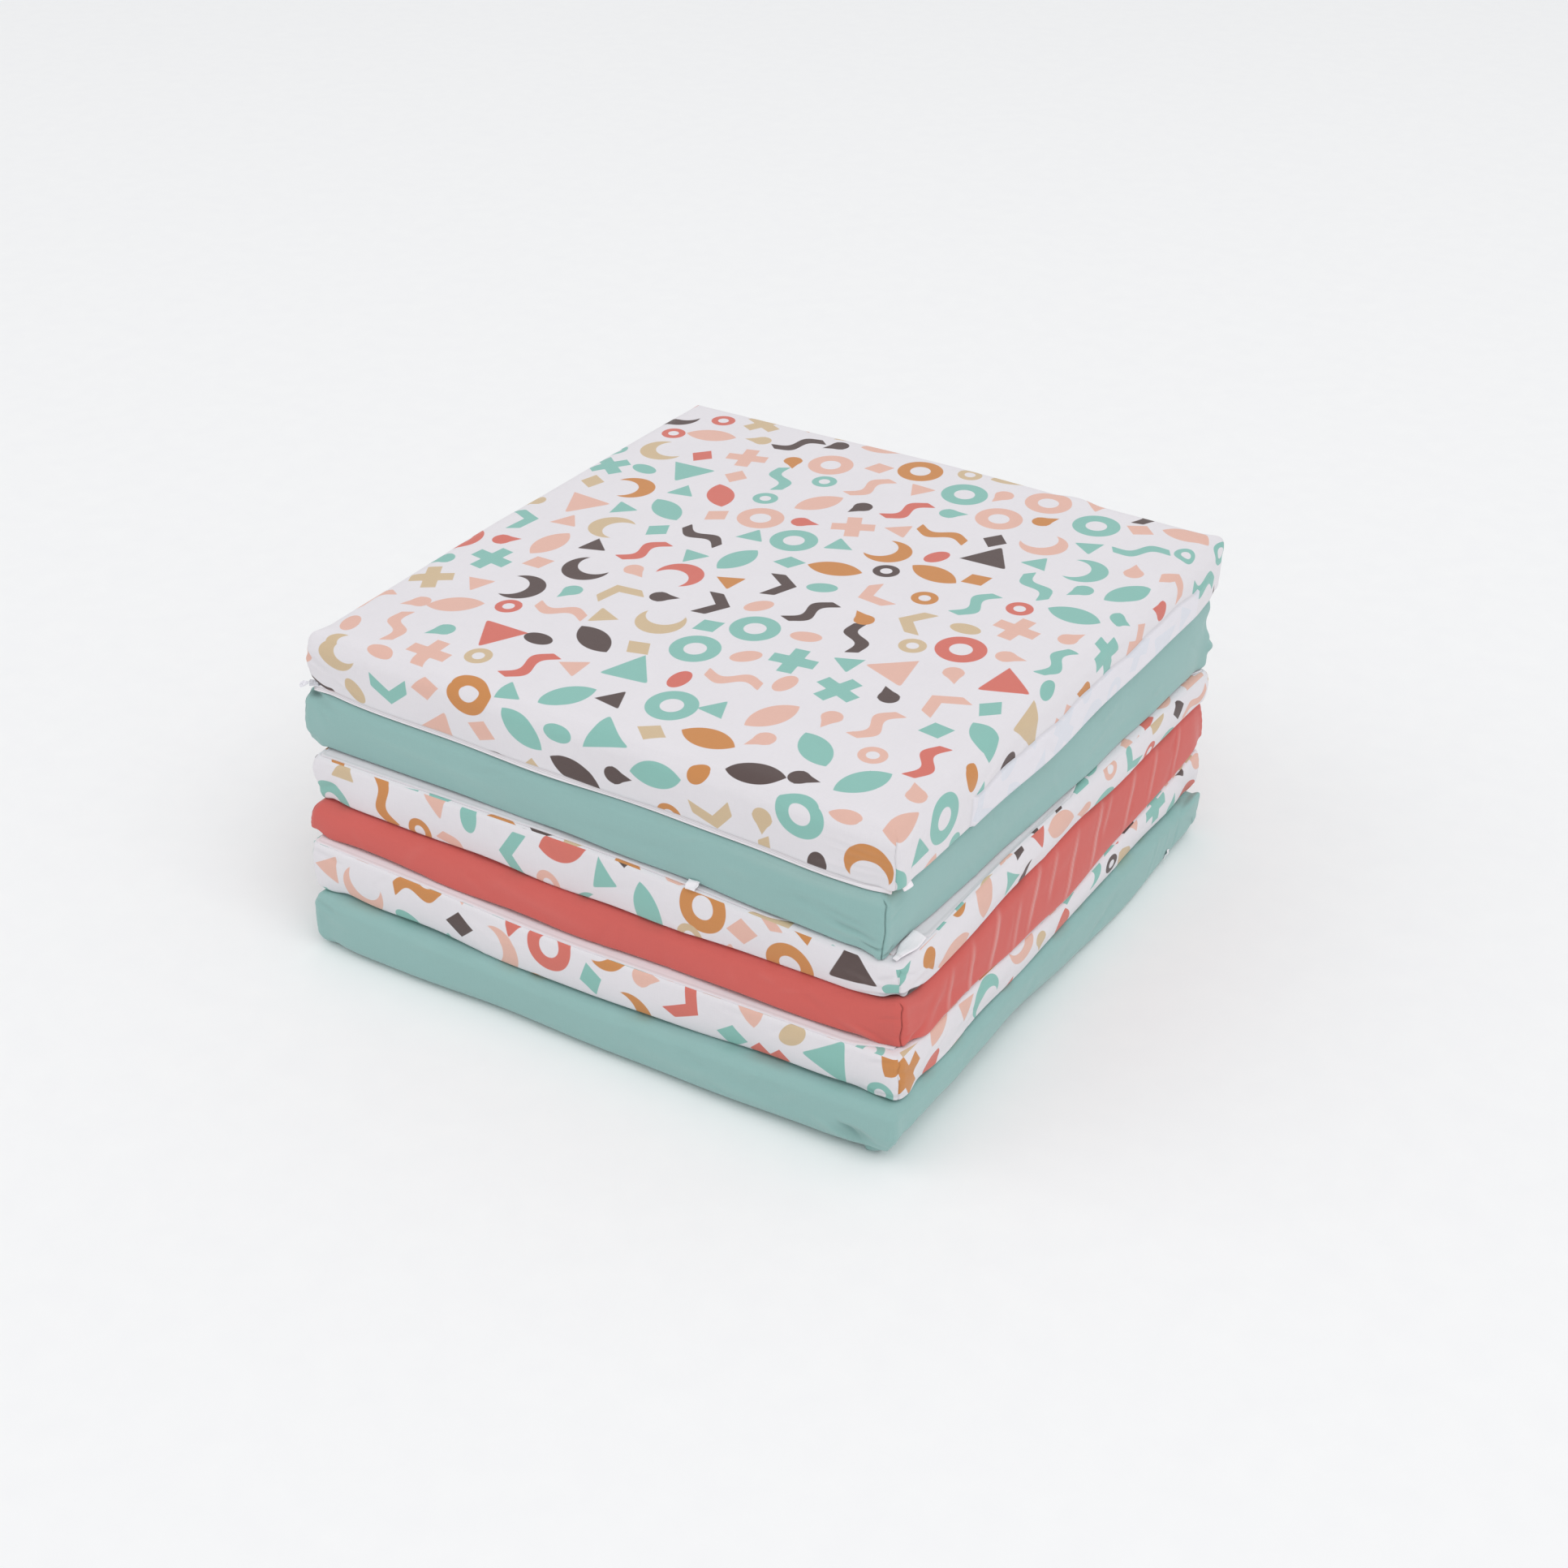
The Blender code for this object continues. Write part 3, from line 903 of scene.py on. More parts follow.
@dataclass(frozen=True)
class CottonFinish:
    """Plain woven cotton. The pattern of its threads lies on the cloth's own flat map, in metres."""

    name: str
    paint: Paint
    roughness: float = 0.84
    sheen: float = 0.22
    crumple_mm: float = 0.5
    thread_mm: float = 0.62
    mottle: float = 0.05
    # Pale colour that a shade below 0 blends in: rubbed wear, and painted highlight on fold ridges and
    # edges.
    wear_and_highlight: Paint = (238, 216, 211)

    def ground(self, loom: Loom, flat: Signal) -> Signal:
        """Colour of the cloth before its threads, its wear and the painted shade and highlight of its
        folds change it.

        Args:
            loom: The material in hand.
            flat: Place on the cloth laid flat; not used here.

        Returns:
            The colour.
        """
        node = loom.put("ShaderNodeRGB")
        node.outputs[0].default_value = linear(self.paint)
        return Signal(loom, node.outputs[0])

    def material(self) -> bpy.types.Material:
        """Build the material.

        Returns:
            The finished material.
        """
        loom = Loom(self.name)
        flat = loom.signal("ShaderNodeUVMap", uv_map="cloth")
        warp = loom.noise(loom.vector("MULTIPLY", flat, (1400.0, 90.0, 1.0)), 1.0)
        weft = loom.noise(loom.vector("MULTIPLY", flat, (90.0, 1400.0, 1.0)), 1.0)
        threads = warp + weft
        cloud = loom.noise(flat, 16.0, 3.0)
        shade = loom.signal("ShaderNodeAttribute", attribute_name="shade", output="Fac")
        tone = (threads + cloud) * self.mottle + (1 - 1.5 * self.mottle)
        # Painted shade from the shade attribute darkens the cloth; where the shade is below 0 the pale
        # colour above is blended in, as wear and painted highlight.
        tone = tone * (1.0 - shade.larger(0.0))
        wear_and_highlight = (shade * -1.0).larger(0.0)
        ground_with_wear_and_highlight = loom.blend(wear_and_highlight, self.ground(loom, flat), linear(self.wear_and_highlight))
        colour = loom.put("ShaderNodeVectorMath", ground_with_wear_and_highlight, operation="SCALE")
        loom.join(tone, colour.inputs["Scale"])
        loom.feed(
            Base_Color=colour.outputs[0],
            Roughness=self.roughness,
            Sheen_Weight=self.sheen,
            Sheen_Roughness=0.45,
            Specular_IOR_Level=0.3,
            Normal=self.relief(loom, flat, threads),
        )
        return loom.material

    def relief(self, loom: Loom, flat: Signal, threads: Signal) -> Signal:
        """Raise the crumples, the weave and the thick threads.

        Args:
            loom: The material in hand.
            flat: Place on the cloth laid flat.
            threads: The thick and thin threads.

        Returns:
            The normal.
        """
        normal = loom.bump(loom.noise(flat, 42.0, 3.0), self.crumple_mm * MM)
        turns = math.tau / (self.thread_mm * MM)
        over, under = ((axis * turns).sine() for axis in self.axes(loom, flat))
        return loom.bump(over * under * 0.5 + threads, 0.05 * MM, normal)

    @staticmethod
    def axes(loom: Loom, place: Signal) -> tuple[Signal, Signal]:
        """The two numbers of a flat place."""
        node = loom.put("ShaderNodeSeparateXYZ", place)
        return Signal(loom, node.outputs[0]), Signal(loom, node.outputs[1])


@dataclass(frozen=True)
class PrintFinish(CottonFinish):
    """Cotton with a scattered print of plain shapes, on a lattice that is turned and shaken."""

    inks: tuple[Paint, ...] = ()
    pitch_mm: float = 63.0
    turn_deg: float = 24.0
    shake: float = 0.07
    size: float = 1.42
    ink_part: float = 1.0

    def ground(self, loom: Loom, flat: Signal) -> Signal:
        """Colour of the cloth with its print.

        Args:
            loom: The material in hand.
            flat: Place on the cloth laid flat.

        Returns:
            The colour.
        """
        colour = linear(self.paint)
        for offset, seed, shapes in ((0.0, 7.0, self.large), (0.5, 8.0, self.small)):
            x, y, kind, ink = self.scatter(loom, flat, offset, seed)
            cover = self.chosen(shapes(x, y), kind) * self.ink_part
            colour = loom.blend(cover, colour, self.ink(loom, ink))
        return colour

    def scatter(self, loom: Loom, flat: Signal, offset: float, seed: float) -> tuple[Signal, ...]:
        """Part the cloth into cells, each with its own place, turn and chances.

        Args:
            loom: The material in hand.
            flat: Place on the cloth laid flat.
            offset: Shift of the lattice, in cells.
            seed: Start of the chances.

        Returns:
            The place from the shape's middle across and along, in millimetres, the chance that
            picks the shape, and the chance that picks the ink.
        """
        lattice = loom.put("ShaderNodeMapping", flat)
        lattice.inputs["Location"].default_value = (offset + 40.3, offset + 31.7, 0.0)
        lattice.inputs["Rotation"].default_value = (0.0, 0.0, math.radians(self.turn_deg))
        lattice.inputs["Scale"].default_value = (1 / (self.pitch_mm * MM),) * 3
        cells = lattice.outputs[0]
        place = loom.vector("ADD", loom.vector("FLOOR", cells), (seed,) * 3)
        across, along, turn = self.chances(loom, place)
        kind, ink, _ = self.chances(loom, loom.vector("ADD", place, (11.0, 5.0, 3.0)))
        shaken = loom.signal("ShaderNodeCombineXYZ", across, along, 0.0)
        shaken = loom.vector("SUBTRACT", shaken, (0.5, 0.5, 0.0))
        shaken = loom.vector("MULTIPLY", shaken, (2 * self.shake,) * 3)
        middle = loom.vector("ADD", shaken, (0.5, 0.5, 0.0))
        inner = loom.vector("SUBTRACT", loom.vector("FRACTION", cells), middle)
        spun = loom.put("ShaderNodeVectorRotate", rotation_type="Z_AXIS")
        loom.join(inner, spun.inputs["Vector"])
        loom.join(turn * math.tau, spun.inputs["Angle"])
        x, y = (axis * (self.pitch_mm / self.size) for axis in self.axes(loom, spun.outputs[0]))
        return x, y, kind, ink

    @staticmethod
    def chances(loom: Loom, place: Signal) -> list[Signal]:
        """Three chances from 0 to 1 that belong to a cell."""
        chance = loom.put("ShaderNodeTexWhiteNoise", place, noise_dimensions="3D")
        parts = loom.put("ShaderNodeSeparateColor", chance.outputs["Color"]).outputs
        return [Signal(loom, part) for part in parts]

    @staticmethod
    def chosen(shapes: list[Signal], kind: Signal) -> Signal:
        """Cover of the shape that the cell's chance picks.

        Args:
            shapes: Distance outside each shape's outline, in millimetres.
            kind: Chance that picks the shape.

        Returns:
            The cover, 1 inside the outline and 0 outside.
        """
        number = kind.math("FLOOR", kind * float(len(shapes)))
        total = None
        for index, shape in enumerate(shapes):
            part = number.math("COMPARE", number, float(index), 0.25) * shape.between(0.25, -0.25)
            total = part if total is None else total + part
        return total

    @staticmethod
    def large(x: Signal, y: Signal) -> list[Signal]:
        """Ring, leaf, triangle, plus sign, crescent, wavy bar and bent bar, with leaves twice.

        Args:
            x: Place across the shape, in millimetres.
            y: Place along the shape, in millimetres.

        Returns:
            Distance outside each outline, in millimetres.
        """
        wide, high, far = abs(x), abs(y), x.span(y)
        ring = abs(far - 11.5) - 4.4
        leaf = (wide + 13.0).span(y) - 22.5
        triangle = (wide * 0.87 + y * 0.5).larger_soft(y * -1.0, 4.0) - 9.5
        upright = (wide - 4.9).larger(high - 14.5)
        level = (high - 4.9).larger(wide - 14.5)
        plus = upright.smaller_soft(level, 1.5)
        crescent = (far - 16.0).larger_soft(12.5 - (x - 8.0).span(y), 2.0)
        wavy = (abs(y - (x * 0.21).sine() * 3.6) - 4.4).larger_soft(wide - 18.5, 1.5)
        bent = (abs(y + wide * 0.75 - 5.0) - 5.0).larger_soft(wide - 14.5, 1.5)
        return [ring, leaf, triangle, plus, crescent, wavy, bent, leaf]

    @staticmethod
    def small(x: Signal, y: Signal) -> list[Signal]:
        """Seed, small diamond, small drop, small triangle and small ring.

        Args:
            x: Place across the shape, in millimetres.
            y: Place along the shape, in millimetres.

        Returns:
            Distance outside each outline, in millimetres.
        """
        wide, high = abs(x), abs(y)
        seed = (x * 1.6).span(y) - 10.0
        diamond = (wide + high * 0.8).larger_soft(0.0, 3.0) - 8.5
        tip = (wide * 0.9 + y * 0.45 - 4.8).larger(-2.5 - y)
        drop = (x.span(y + 2.5) - 6.5).smaller_soft(tip, 1.5)
        triangle = (wide * 0.87 + y * 0.5).larger_soft(y * -1.0, 2.5) - 5.6
        ring = abs(x.span(y) - 6.3) - 2.4
        return [seed, diamond, drop, triangle, ring]

    def ink(self, loom: Loom, chance: Signal) -> Signal:
        """Colour that the cell's chance picks from the inks.

        Args:
            loom: The material in hand.
            chance: The chance, from 0 to 1.

        Returns:
            The colour.
        """
        ramp = loom.put("ShaderNodeValToRGB", chance)
        ramp.color_ramp.interpolation = "CONSTANT"
        stops = ramp.color_ramp.elements
        while len(stops) < len(self.inks):
            stops.new(0.5)
        for index, paint in enumerate(self.inks):
            stops[index].position = index / len(self.inks)
            stops[index].color = linear(paint)
        return Signal(loom, ramp.outputs[0])


@dataclass(frozen=True)
class MetalFinish:
    """Painted metal of the zip's slider, darker in scattered patches."""

    name: str
    paint: Paint
    roughness: float

    def material(self) -> bpy.types.Material:
        """Build the material.

        Returns:
            The finished material.
        """
        loom = Loom(self.name)
        wear_and_highlight = loom.noise(loom.signal("ShaderNodeTexCoord", output="Object"), 900.0, 3.0)
        colour = loom.blend(wear_and_highlight.between(0.55, 0.8), linear(self.paint), linear((120, 120, 126)))
        normal = loom.bump(wear_and_highlight, 0.05 * MM)
        loom.feed(Base_Color=colour, Metallic=0.25, Roughness=self.roughness, Normal=normal)
        return loom.material


INKS: tuple[Paint, ...] = (
    (143, 195, 185),
    (217, 119, 107),
    (94, 79, 77),
    (232, 187, 172),
    (208, 142, 85),
    (213, 189, 155),
    (232, 187, 172),
    (143, 195, 185),
)
WHITE: Paint = (233, 229, 233)
HEM_WHITE: Paint = (236, 233, 239)
HEM_GHOST: Paint = (220, 226, 236)


class Rack:
    """Every finish of the stack, made once."""

    def __init__(self) -> None:
        """Make the materials."""
        self.printed = PrintFinish("printed_cotton", WHITE, inks=INKS).material()
        self.hem = PrintFinish("hem_cotton", HEM_WHITE, inks=(HEM_GHOST,), ink_part=0.5).material()
        self.teal = CottonFinish("teal_cotton", (150, 188, 184), sheen=0.3).material()
        self.coral = CottonFinish("coral_cotton", (212, 100, 93), sheen=0.3).material()
        self.backing = CottonFinish("backing_cotton", (238, 232, 236), sheen=0.1).material()
        self.tape = CottonFinish("cotton_tape", (248, 243, 247), thread_mm=0.9).material()
        self.metal = MetalFinish("slider_metal", (216, 216, 222), 0.38).material()
        self.pull = MetalFinish("pull_metal", (236, 234, 240), 0.3).material()

    def of(self, cloth: Cloth) -> bpy.types.Material:
        """The material of a panel's cover."""
        return {Cloth.PRINT: self.printed, Cloth.TEAL: self.teal, Cloth.CORAL: self.coral}[cloth]


@dataclass
class Ripples:
    """Small soft wrinkles that lie at every angle on the sides, the same each time."""

    seed: int
    count: int
    proud_mm: float
    long_mm: tuple[float, float] = (14.0, 40.0)
    wide_mm: tuple[float, float] = (2.5, 6.0)

    def folds(self) -> list[Fold]:
        """Scatter the wrinkles over the four sides.

        Returns:
            The wrinkles as folds.
        """
        chance = np.random.default_rng(self.seed)
        made = []
        for _ in range(self.count):
            side = list(Side)[chance.integers(4)]
            place = chance.uniform(-0.95, 0.95) * HALF / MM
            rise = chance.uniform(0.1, 0.9)
            heading = chance.normal(0.0, 32.0)
            long, wide = chance.uniform(*self.long_mm), chance.uniform(*self.wide_mm)
            proud = self.proud_mm * chance.uniform(-1, 1)
            made.append(Fold(side, place, rise, heading, long, wide, proud))
        return made


@dataclass(frozen=True)
class BackingEdge:
    """How far in from the rim a backing ends: further in but where its edge shows."""

    hidden_mm: float
    shown_mm: float = 3.0
    stretches: tuple[tuple[Side, float, float], ...] = ()

    def inset(self, x: Floats, y: Floats) -> Floats:
        """Distance of the backing's edge from the rim.

        Args:
            x: Places on the rim along X before the panel is turned, in metres.
            y: Places on the rim along Y before the panel is turned, in metres.

        Returns:
            Distances in metres.
        """
        shown = np.zeros_like(x)
        for side, start, end in self.stretches:
            share, along = facing(side, x, y)
            shown = np.maximum(shown, share * stretch(along, start, end, *EDGE_FADES))
        return (self.hidden_mm + (self.shown_mm - self.hidden_mm) * shown) * MM


# The backings by panel from the top, and whether each lies above its panel or under it. The hidden
# sides have a stretch that is longer than they are.
LONG_SIDES = ((Side.LEFT, -340, 340), (Side.BACK, -340, 340))
BACKINGS = {
    0: (False, BackingEdge(12.0)),
    2: (True, BackingEdge(17.0, 5.5, ((Side.FRONT, -340, 235), (Side.RIGHT, -276, 60), *LONG_SIDES))),
    4: (True, BackingEdge(15.0, 3.0, ((Side.FRONT, -340, 310), *LONG_SIDES))),
}


@dataclass
class CoveredPanel:
    """One foam panel in its cover."""

    index: int
    folds: list[Fold]
    around: int = 1120
    rows: int = 36
    top_rings: tuple[float, ...] = (1, 2, 3, 4.2, 5.6, 7.4, 10, 13.5, 18, 25, 36, 60, 110, 190)
    foot_rings: tuple[float, ...] = (0.8, 1.6, 2.6, 4, 6.5, 10, 16, 28, 60, 150)

    @property
    def lie(self) -> Lie:
        """How this panel lies."""
        return LIES[self.index]

    def room(self, above: bool) -> float:
        """Room that a backing takes between this panel and the level above or below it."""
        return CLOTH + CLEAR if BACKINGS.get(self.index, (None,))[0] is above else 0.0

    def backed(self, a: Floats, b: Floats, inset: Floats) -> Floats:
        """Where a backing lies on the panel: 1 there and 0 out at the rim."""
        if self.index not in BACKINGS:
            return np.ones_like(inset)
        reach = square_reach(a, b)
        edge = BACKINGS[self.index][1].inset(a / reach * HALF, b / reach * HALF)
        return smooth_step((inset - edge) / BACKED_FADE + 1.0)

    def top(self, x: Floats, y: Floats, backed: Floats | float = 1.0) -> Floats:
        """Height of the upper face, ahead of its rounded edge."""
        touch = 0.0 if self.index == 0 else TOUCH / 2
        return level_height(self.lie.level, x, y) - touch - self.room(True) * backed

    def foot(self, x: Floats, y: Floats, backed: Floats | float = 1.0) -> Floats:
        """Height of the lower face, ahead of its rounded edge."""
        touch = 0.0 if self.lie.level == 1 else TOUCH / 2
        return level_height(self.lie.level - 1, x, y) + touch + self.room(False) * backed

    def in_stack(self, x: Floats, y: Floats) -> tuple[Floats, Floats]:
        """Places of the panel's own plan, turned and shifted as it lies."""
        x, y = turned(x, y, self.lie.turn_deg)
        return x + self.lie.shift[0] * MM, y + self.lie.shift[1] * MM

    def on_hem(self, a: Floats, b: Floats, c: Floats) -> Floats:
        """Where the hem is turned out, by places on the block: 1 on it and 0 elsewhere."""
        if self.index != 0:
            return np.zeros_like(a)
        ends = stretch(b * HALF, HEM_START, HEM_END + HEM_FADE, HEM_STEP, HEM_FADE)
        return ends * ((a > ON_END) & (c < -1e-3))

    def hem_line(self, along: Floats) -> Floats:
        """Height of the hem's wavy upper edge, as a part of the panel's."""
        return HEM_TOP + waves(HEM_WAVES, along, 1)

    def hem_rows(self, a: Floats, b: Floats, rise: Floats) -> Floats:
        """Draw the rows of the right face to the wavy upper edge of the hem.

        Args:
            a: First coordinate on the block from -1 to 1.
            b: Second coordinate on the block.
            rise: Part of the height of each row, before it is drawn.

        Returns:
            The new parts of the height.
        """
        if self.index != 0:
            return rise
        along = b * HALF
        ease = HEM_EASE
        here = stretch(along, HEM_START - ease, HEM_END + ease, 2 * ease, 2 * ease) * (a > np.abs(b))
        line = self.hem_line(along)
        below = 0.5 - 1 / self.rows
        drawn = np.where(
            rise > 0.5 - 0.5 / self.rows,
            1 - (1 - rise) * (1 - line) / 0.5,
            rise * (line - HEM_ROW_GAP) / below,
        )
        return rise + (drawn - rise) * here

    def side_push(self, x: Floats, y: Floats, rise: Floats) -> Floats:
        """How far the cover stands out of the plain outline.

        Args:
            x: Places along X before the panel is turned, in metres.
            y: Places along Y before the panel is turned, in metres.
            rise: Part of the height, from 0 at the foot to 1 at the top.

        Returns:
            Distances in metres.
        """
        way_x, way_y = outward(x, y)
        along = x * way_y - y * way_x
        belly = self.lie.bulge * MM * np.sin(math.pi * rise)
        drawn = DRAWN_IN * (1 - np.minimum(np.abs(along) / HALF, 1.0) ** 2)
        flare = self.lie.flare * MM * (1 - rise) * np.maximum(np.maximum(way_x, -way_y), 0.0)
        wave = waves(SIDE_WAVES, along, self.index) * (1 - rise)
        return belly - drawn + flare + wave

    def foot_radius(self, x: Floats, y: Floats) -> Floats:
        """Radius of the lower edge, which changes along the front and right of the lowest panel."""
        plain = self.lie.foot_round * MM
        if self.lie.level > 1:
            return np.full_like(x, plain)
        way_x, way_y = outward(x, y)
        front = FOOT_FRONT_LEFT + (FOOT_FRONT_RIGHT - FOOT_FRONT_LEFT) * smooth_step(x / HALF)
        right = FOOT_RIGHT - FOOT_RIGHT_SWING * np.sin(math.pi * y / HALF)
        corner = FOOT_CORNER * smooth_step(1 - np.hypot(x - HALF, y + HALF) / FOOT_CORNER_REACH)
        return (
            np.where(way_y < 0, front, plain) * way_y**2
            + np.where(way_x > 0, right, plain) * way_x**2
            + corner
        )

    def foot_lift(self, x: Floats, y: Floats) -> Floats:
        """How far the lower edge of the cover rises and falls along its rim."""
        if self.lie.level == 1:
            return np.zeros_like(x)
        way_x, way_y = outward(x, y)
        lift = FOOT_LIFT + waves(FOOT_WAVES, x * way_y - y * way_x, self.index)
        if self.index == 0:
            lift = lift + TAPE_LIFT * smooth_step(-way_y)
            lift = lift + ZIP_LIFT * smooth_step(1 - np.hypot(x + HALF, y + HALF) / ZIP_REACH)
        return lift

    def creases(self, x: Floats, y: Floats, rise: Floats, height: Floats) -> tuple[Floats, Floats]:
        """Sum of the folds on the sides.

        Args:
            x: Places along X before the panel is turned, in metres.
            y: Places along Y before the panel is turned, in metres.
            rise: Part of the height.
            height: Height of the panel, in metres.

        Returns:
            How far the folds stand out, in metres, and their painted shading: shade in troughs and dark
            creases, a paler tone along proud ridges and pale streaks.
        """
        up = rise * height / MM
        sides = {side: facing(side, x, y) for side in Side}
        total, fold_shading_and_wear = np.zeros_like(x), np.zeros_like(x)
        for fold in self.folds:
            share, along = sides[fold.side]
            run, across = turned(along - fold.place, up - fold.rise * height / MM, -fold.heading)
            here = share * np.exp(-((2 * run / fold.long) ** 4))
            ridge = hump(across, 0, fold.wide) - 0.4 * hump(across, 0, fold.wide * 2.2)
            total += here * fold.proud * MM * ridge
            # Painted highlight along proud ridges and painted shade in troughs, with each fold's own
            # painted shade; the coral streaks pale here as wear and painted sheen.
            fold_shading_and_wear += here * (fold.shade - 0.025 * fold.proud) * hump(across, 0, fold.wide * 0.8)
        return total, fold_shading_and_wear

    def corner_seam(self, x: Floats, y: Floats, rise: Floats) -> tuple[Floats, Floats]:
        """The sewn seam down each corner: a groove with a pucker at its stitches.

        Args:
            x: Places along X before the panel is turned, in metres.
            y: Places along Y before the panel is turned, in metres.
            rise: Part of the height.

        Returns:
            How far the cover stands out there, in metres, and how much the seam shades it.
        """
        corner = 3 * self.index + 2 * np.sign(x) + np.sign(y)
        stray = 0.9 * np.sin(rise * 6.0 + corner) + 0.4 * np.sin(rise * 15.0 + 2 * corner)
        off = (np.abs(x) - np.abs(y)) / MM - stray * 1.4
        turn = np.sin(rise * 34.0 + corner)
        pucker = 0.16 * MM * turn * hump(off, 0, 9.0) * (1 - hump(off, 0, 1.6))
        # Painted shade in the seam's groove: strong on the teal and coral, faint on the print.
        dark = 0.12 if self.lie.cloth is Cloth.PRINT else 0.5
        hook = 2.0 * hump(rise, 0.86, 0.06)
        lowest = self.lie.level == 1
        swing = 17.0 * smooth_step(rise / 0.5) * lowest
        end = 0.55 if lowest else 0.96
        near = hump(off - hook - swing, 0, 0.8) * smooth_step((end - rise) / 0.05)
        return pucker - (0.6 + 1.8 * dark) * MM * near, dark * near

    def build(self, rack: Rack) -> bpy.types.Object:
        """Model the panel, lay the flat map on it and dress it.

        Args:
            rack: The finishes.

        Returns:
            The panel.
        """
        name = self.lie.name + "_cover"
        piece = Bench.drum(name, self.around, self.rows, len(self.top_rings), len(self.foot_rings))
        a, b, c = Bench.unroll(piece.data, self.top_rings, self.foot_rings).T
        self.lay_flat(piece.data, a, b, c)
        places, shade = self.shape(a, b, c)
        Bench.move(piece, places)
        Bench.shade(piece.data, shade)
        hem = (rack.hem,) if self.index == 0 else ()
        Bench.fit(piece, self.lie.cloth, self.lie.name, rack.of(self.lie.cloth), *hem)
        return piece

    def shape(self, a: Floats, b: Floats, c: Floats) -> tuple[Floats, Floats]:
        """Move the points of the block onto the cover.

        Args:
            a: First coordinate on the block from -1 to 1.
            b: Second coordinate on the block.
            c: Third coordinate on the block, -1 at the foot.

        Returns:
            Rows of three coordinates in metres, and how much each point is shaded.
        """
        inset = HALF * (1 - np.maximum(np.abs(a), np.abs(b)))
        plain = self.in_stack(*plan_place(a, b, inset))
        backed = self.backed(a, b, inset)
        top, foot = self.top(*plain, backed), self.foot(*plain, backed)
        height = top - foot
        hem = self.on_hem(a, b, c)
        rise = self.hem_rows(a, b, (c + 1) / 2)
        upper, upper_depth = rounded(inset, (1 - rise) * height, self.lie.top_round * MM)
        radius = self.foot_radius(a * HALF, b * HALF)
        lower, lower_depth = rounded(inset, rise * height, radius + (HEM_ROUND - radius) * hem)
        inset = np.where(rise >= 0.5, upper, lower)
        z = np.where(rise >= 0.5, top - upper_depth, foot + lower_depth)
        x, y = plan_place(a, b, inset)
        fade = smooth_step(1 - inset / PUSH_FADE)
        level = (z - foot) / height
        push = self.side_push(x, y, level) * fade
        on_side = smooth_step(1 - inset / SIDE_FADE)
        seam, shade = self.corner_seam(a * HALF, b * HALF, level)
        creases, fold_shading_and_wear = self.creases(x, y, level, height)
        push = push + (creases + seam) * on_side + HEM_THICK * hem
        z = z + self.foot_lift(x, y) * fade * (1 - rise) ** 2 * (1 - hem)
        way_x, way_y = outward(x, y)
        x, y = self.in_stack(x + way_x * push, y + way_y * push)
        places = np.stack((x, y, z), axis=1)
        # Painted shade from the seams, folds and the hem's shadow, with painted highlight and wear where
        # it is below 0.
        shade = (shade + fold_shading_and_wear + 0.12 * self.hem_shadow(a, b, rise)) * on_side
        for nudge in NUDGES[self.index]:
            off = (places / MM - nudge.place) / nudge.reach
            part = np.maximum(1 - (off**2).sum(axis=1), 0.0) ** 2
            places = places + part[:, None] * np.array(nudge.pull) * MM
            shade = shade + nudge.shade * part
        return places, shade

    def hem_shadow(self, a: Floats, b: Floats, rise: Floats) -> Floats:
        """The thin shadow above the hem that is turned out, from 0 to 1."""
        if self.index != 0:
            return np.zeros_like(a)
        along = b * HALF
        line = self.hem_line(along)
        upper = hump(rise, line, 0.02) * (rise > line - 0.004)
        start = hump(along, HEM_START - 0.0016, 0.0014) * (rise < line)
        ends = stretch(along, HEM_START, HEM_END, HEM_STEP, HEM_STEP)
        return (a > ON_END) * (ends * upper + start)

    def lay_flat(self, mesh: bpy.types.Mesh, a: Floats, b: Floats, c: Floats) -> None:
        """Give every corner of every face its place on the cloth laid flat, in metres.

        Args:
            mesh: The cut drum, still round.
            a: First coordinate of each vertex on the block.
            b: Second coordinate of each vertex.
            c: Third coordinate of each vertex.
        """
        corner = np.zeros(len(mesh.loops), np.int32)
        mesh.loops.foreach_get("vertex_index", corner)
        count = np.zeros(len(mesh.polygons), np.int32)
        mesh.polygons.foreach_get("loop_total", count)
        owner = np.repeat(np.arange(len(count)), count)
        x, y = (a * HALF)[corner], (b * HALF)[corner]
        rise = ((c + 1) / 2)[corner]
        centre = np.zeros(len(mesh.polygons) * 3)
        mesh.polygons.foreach_get("center", centre)
        centre = centre.reshape(-1, 3)
        side = np.floor(np.arctan2(centre[:, 1], centre[:, 0]) / math.tau * 4).astype(int) % 4
        way = np.array([list(s.value) for s in (Side.RIGHT, Side.BACK, Side.LEFT, Side.FRONT)])[side]
        way = way * (np.abs(centre[:, 2:]) < ON_END)
        middle = np.zeros(1)
        tall = abs(float((self.top(middle, middle) - self.foot(middle, middle))[0]))
        hang = (1 - rise if self.lie.print_up else rise) * tall
        far_face = (centre[:, 2] * (1 if self.lie.print_up else -1) < -ON_END)[owner]
        way_x, way_y = way[owner].T
        u = np.where(way_x != 0, way_x * (HALF + hang), x) + 1.7 * self.index
        v = np.where(way_y != 0, way_y * (HALF + hang), y) + 0.9 * far_face
        layer = mesh.uv_layers.active or mesh.uv_layers.new(name="cloth")
        layer.name = "cloth"
        layer.data.foreach_set("uv", np.stack((u, v), axis=1).astype(np.float32).ravel())
        if self.index == 0:
            along = np.bincount(owner, weights=y) / count
            hem = (way[:, 0] > 0) & (centre[:, 2] < 0) & (along > HEM_START) & (along < HEM_END)
            mesh.polygons.foreach_set("material_index", hem.astype(np.int32))


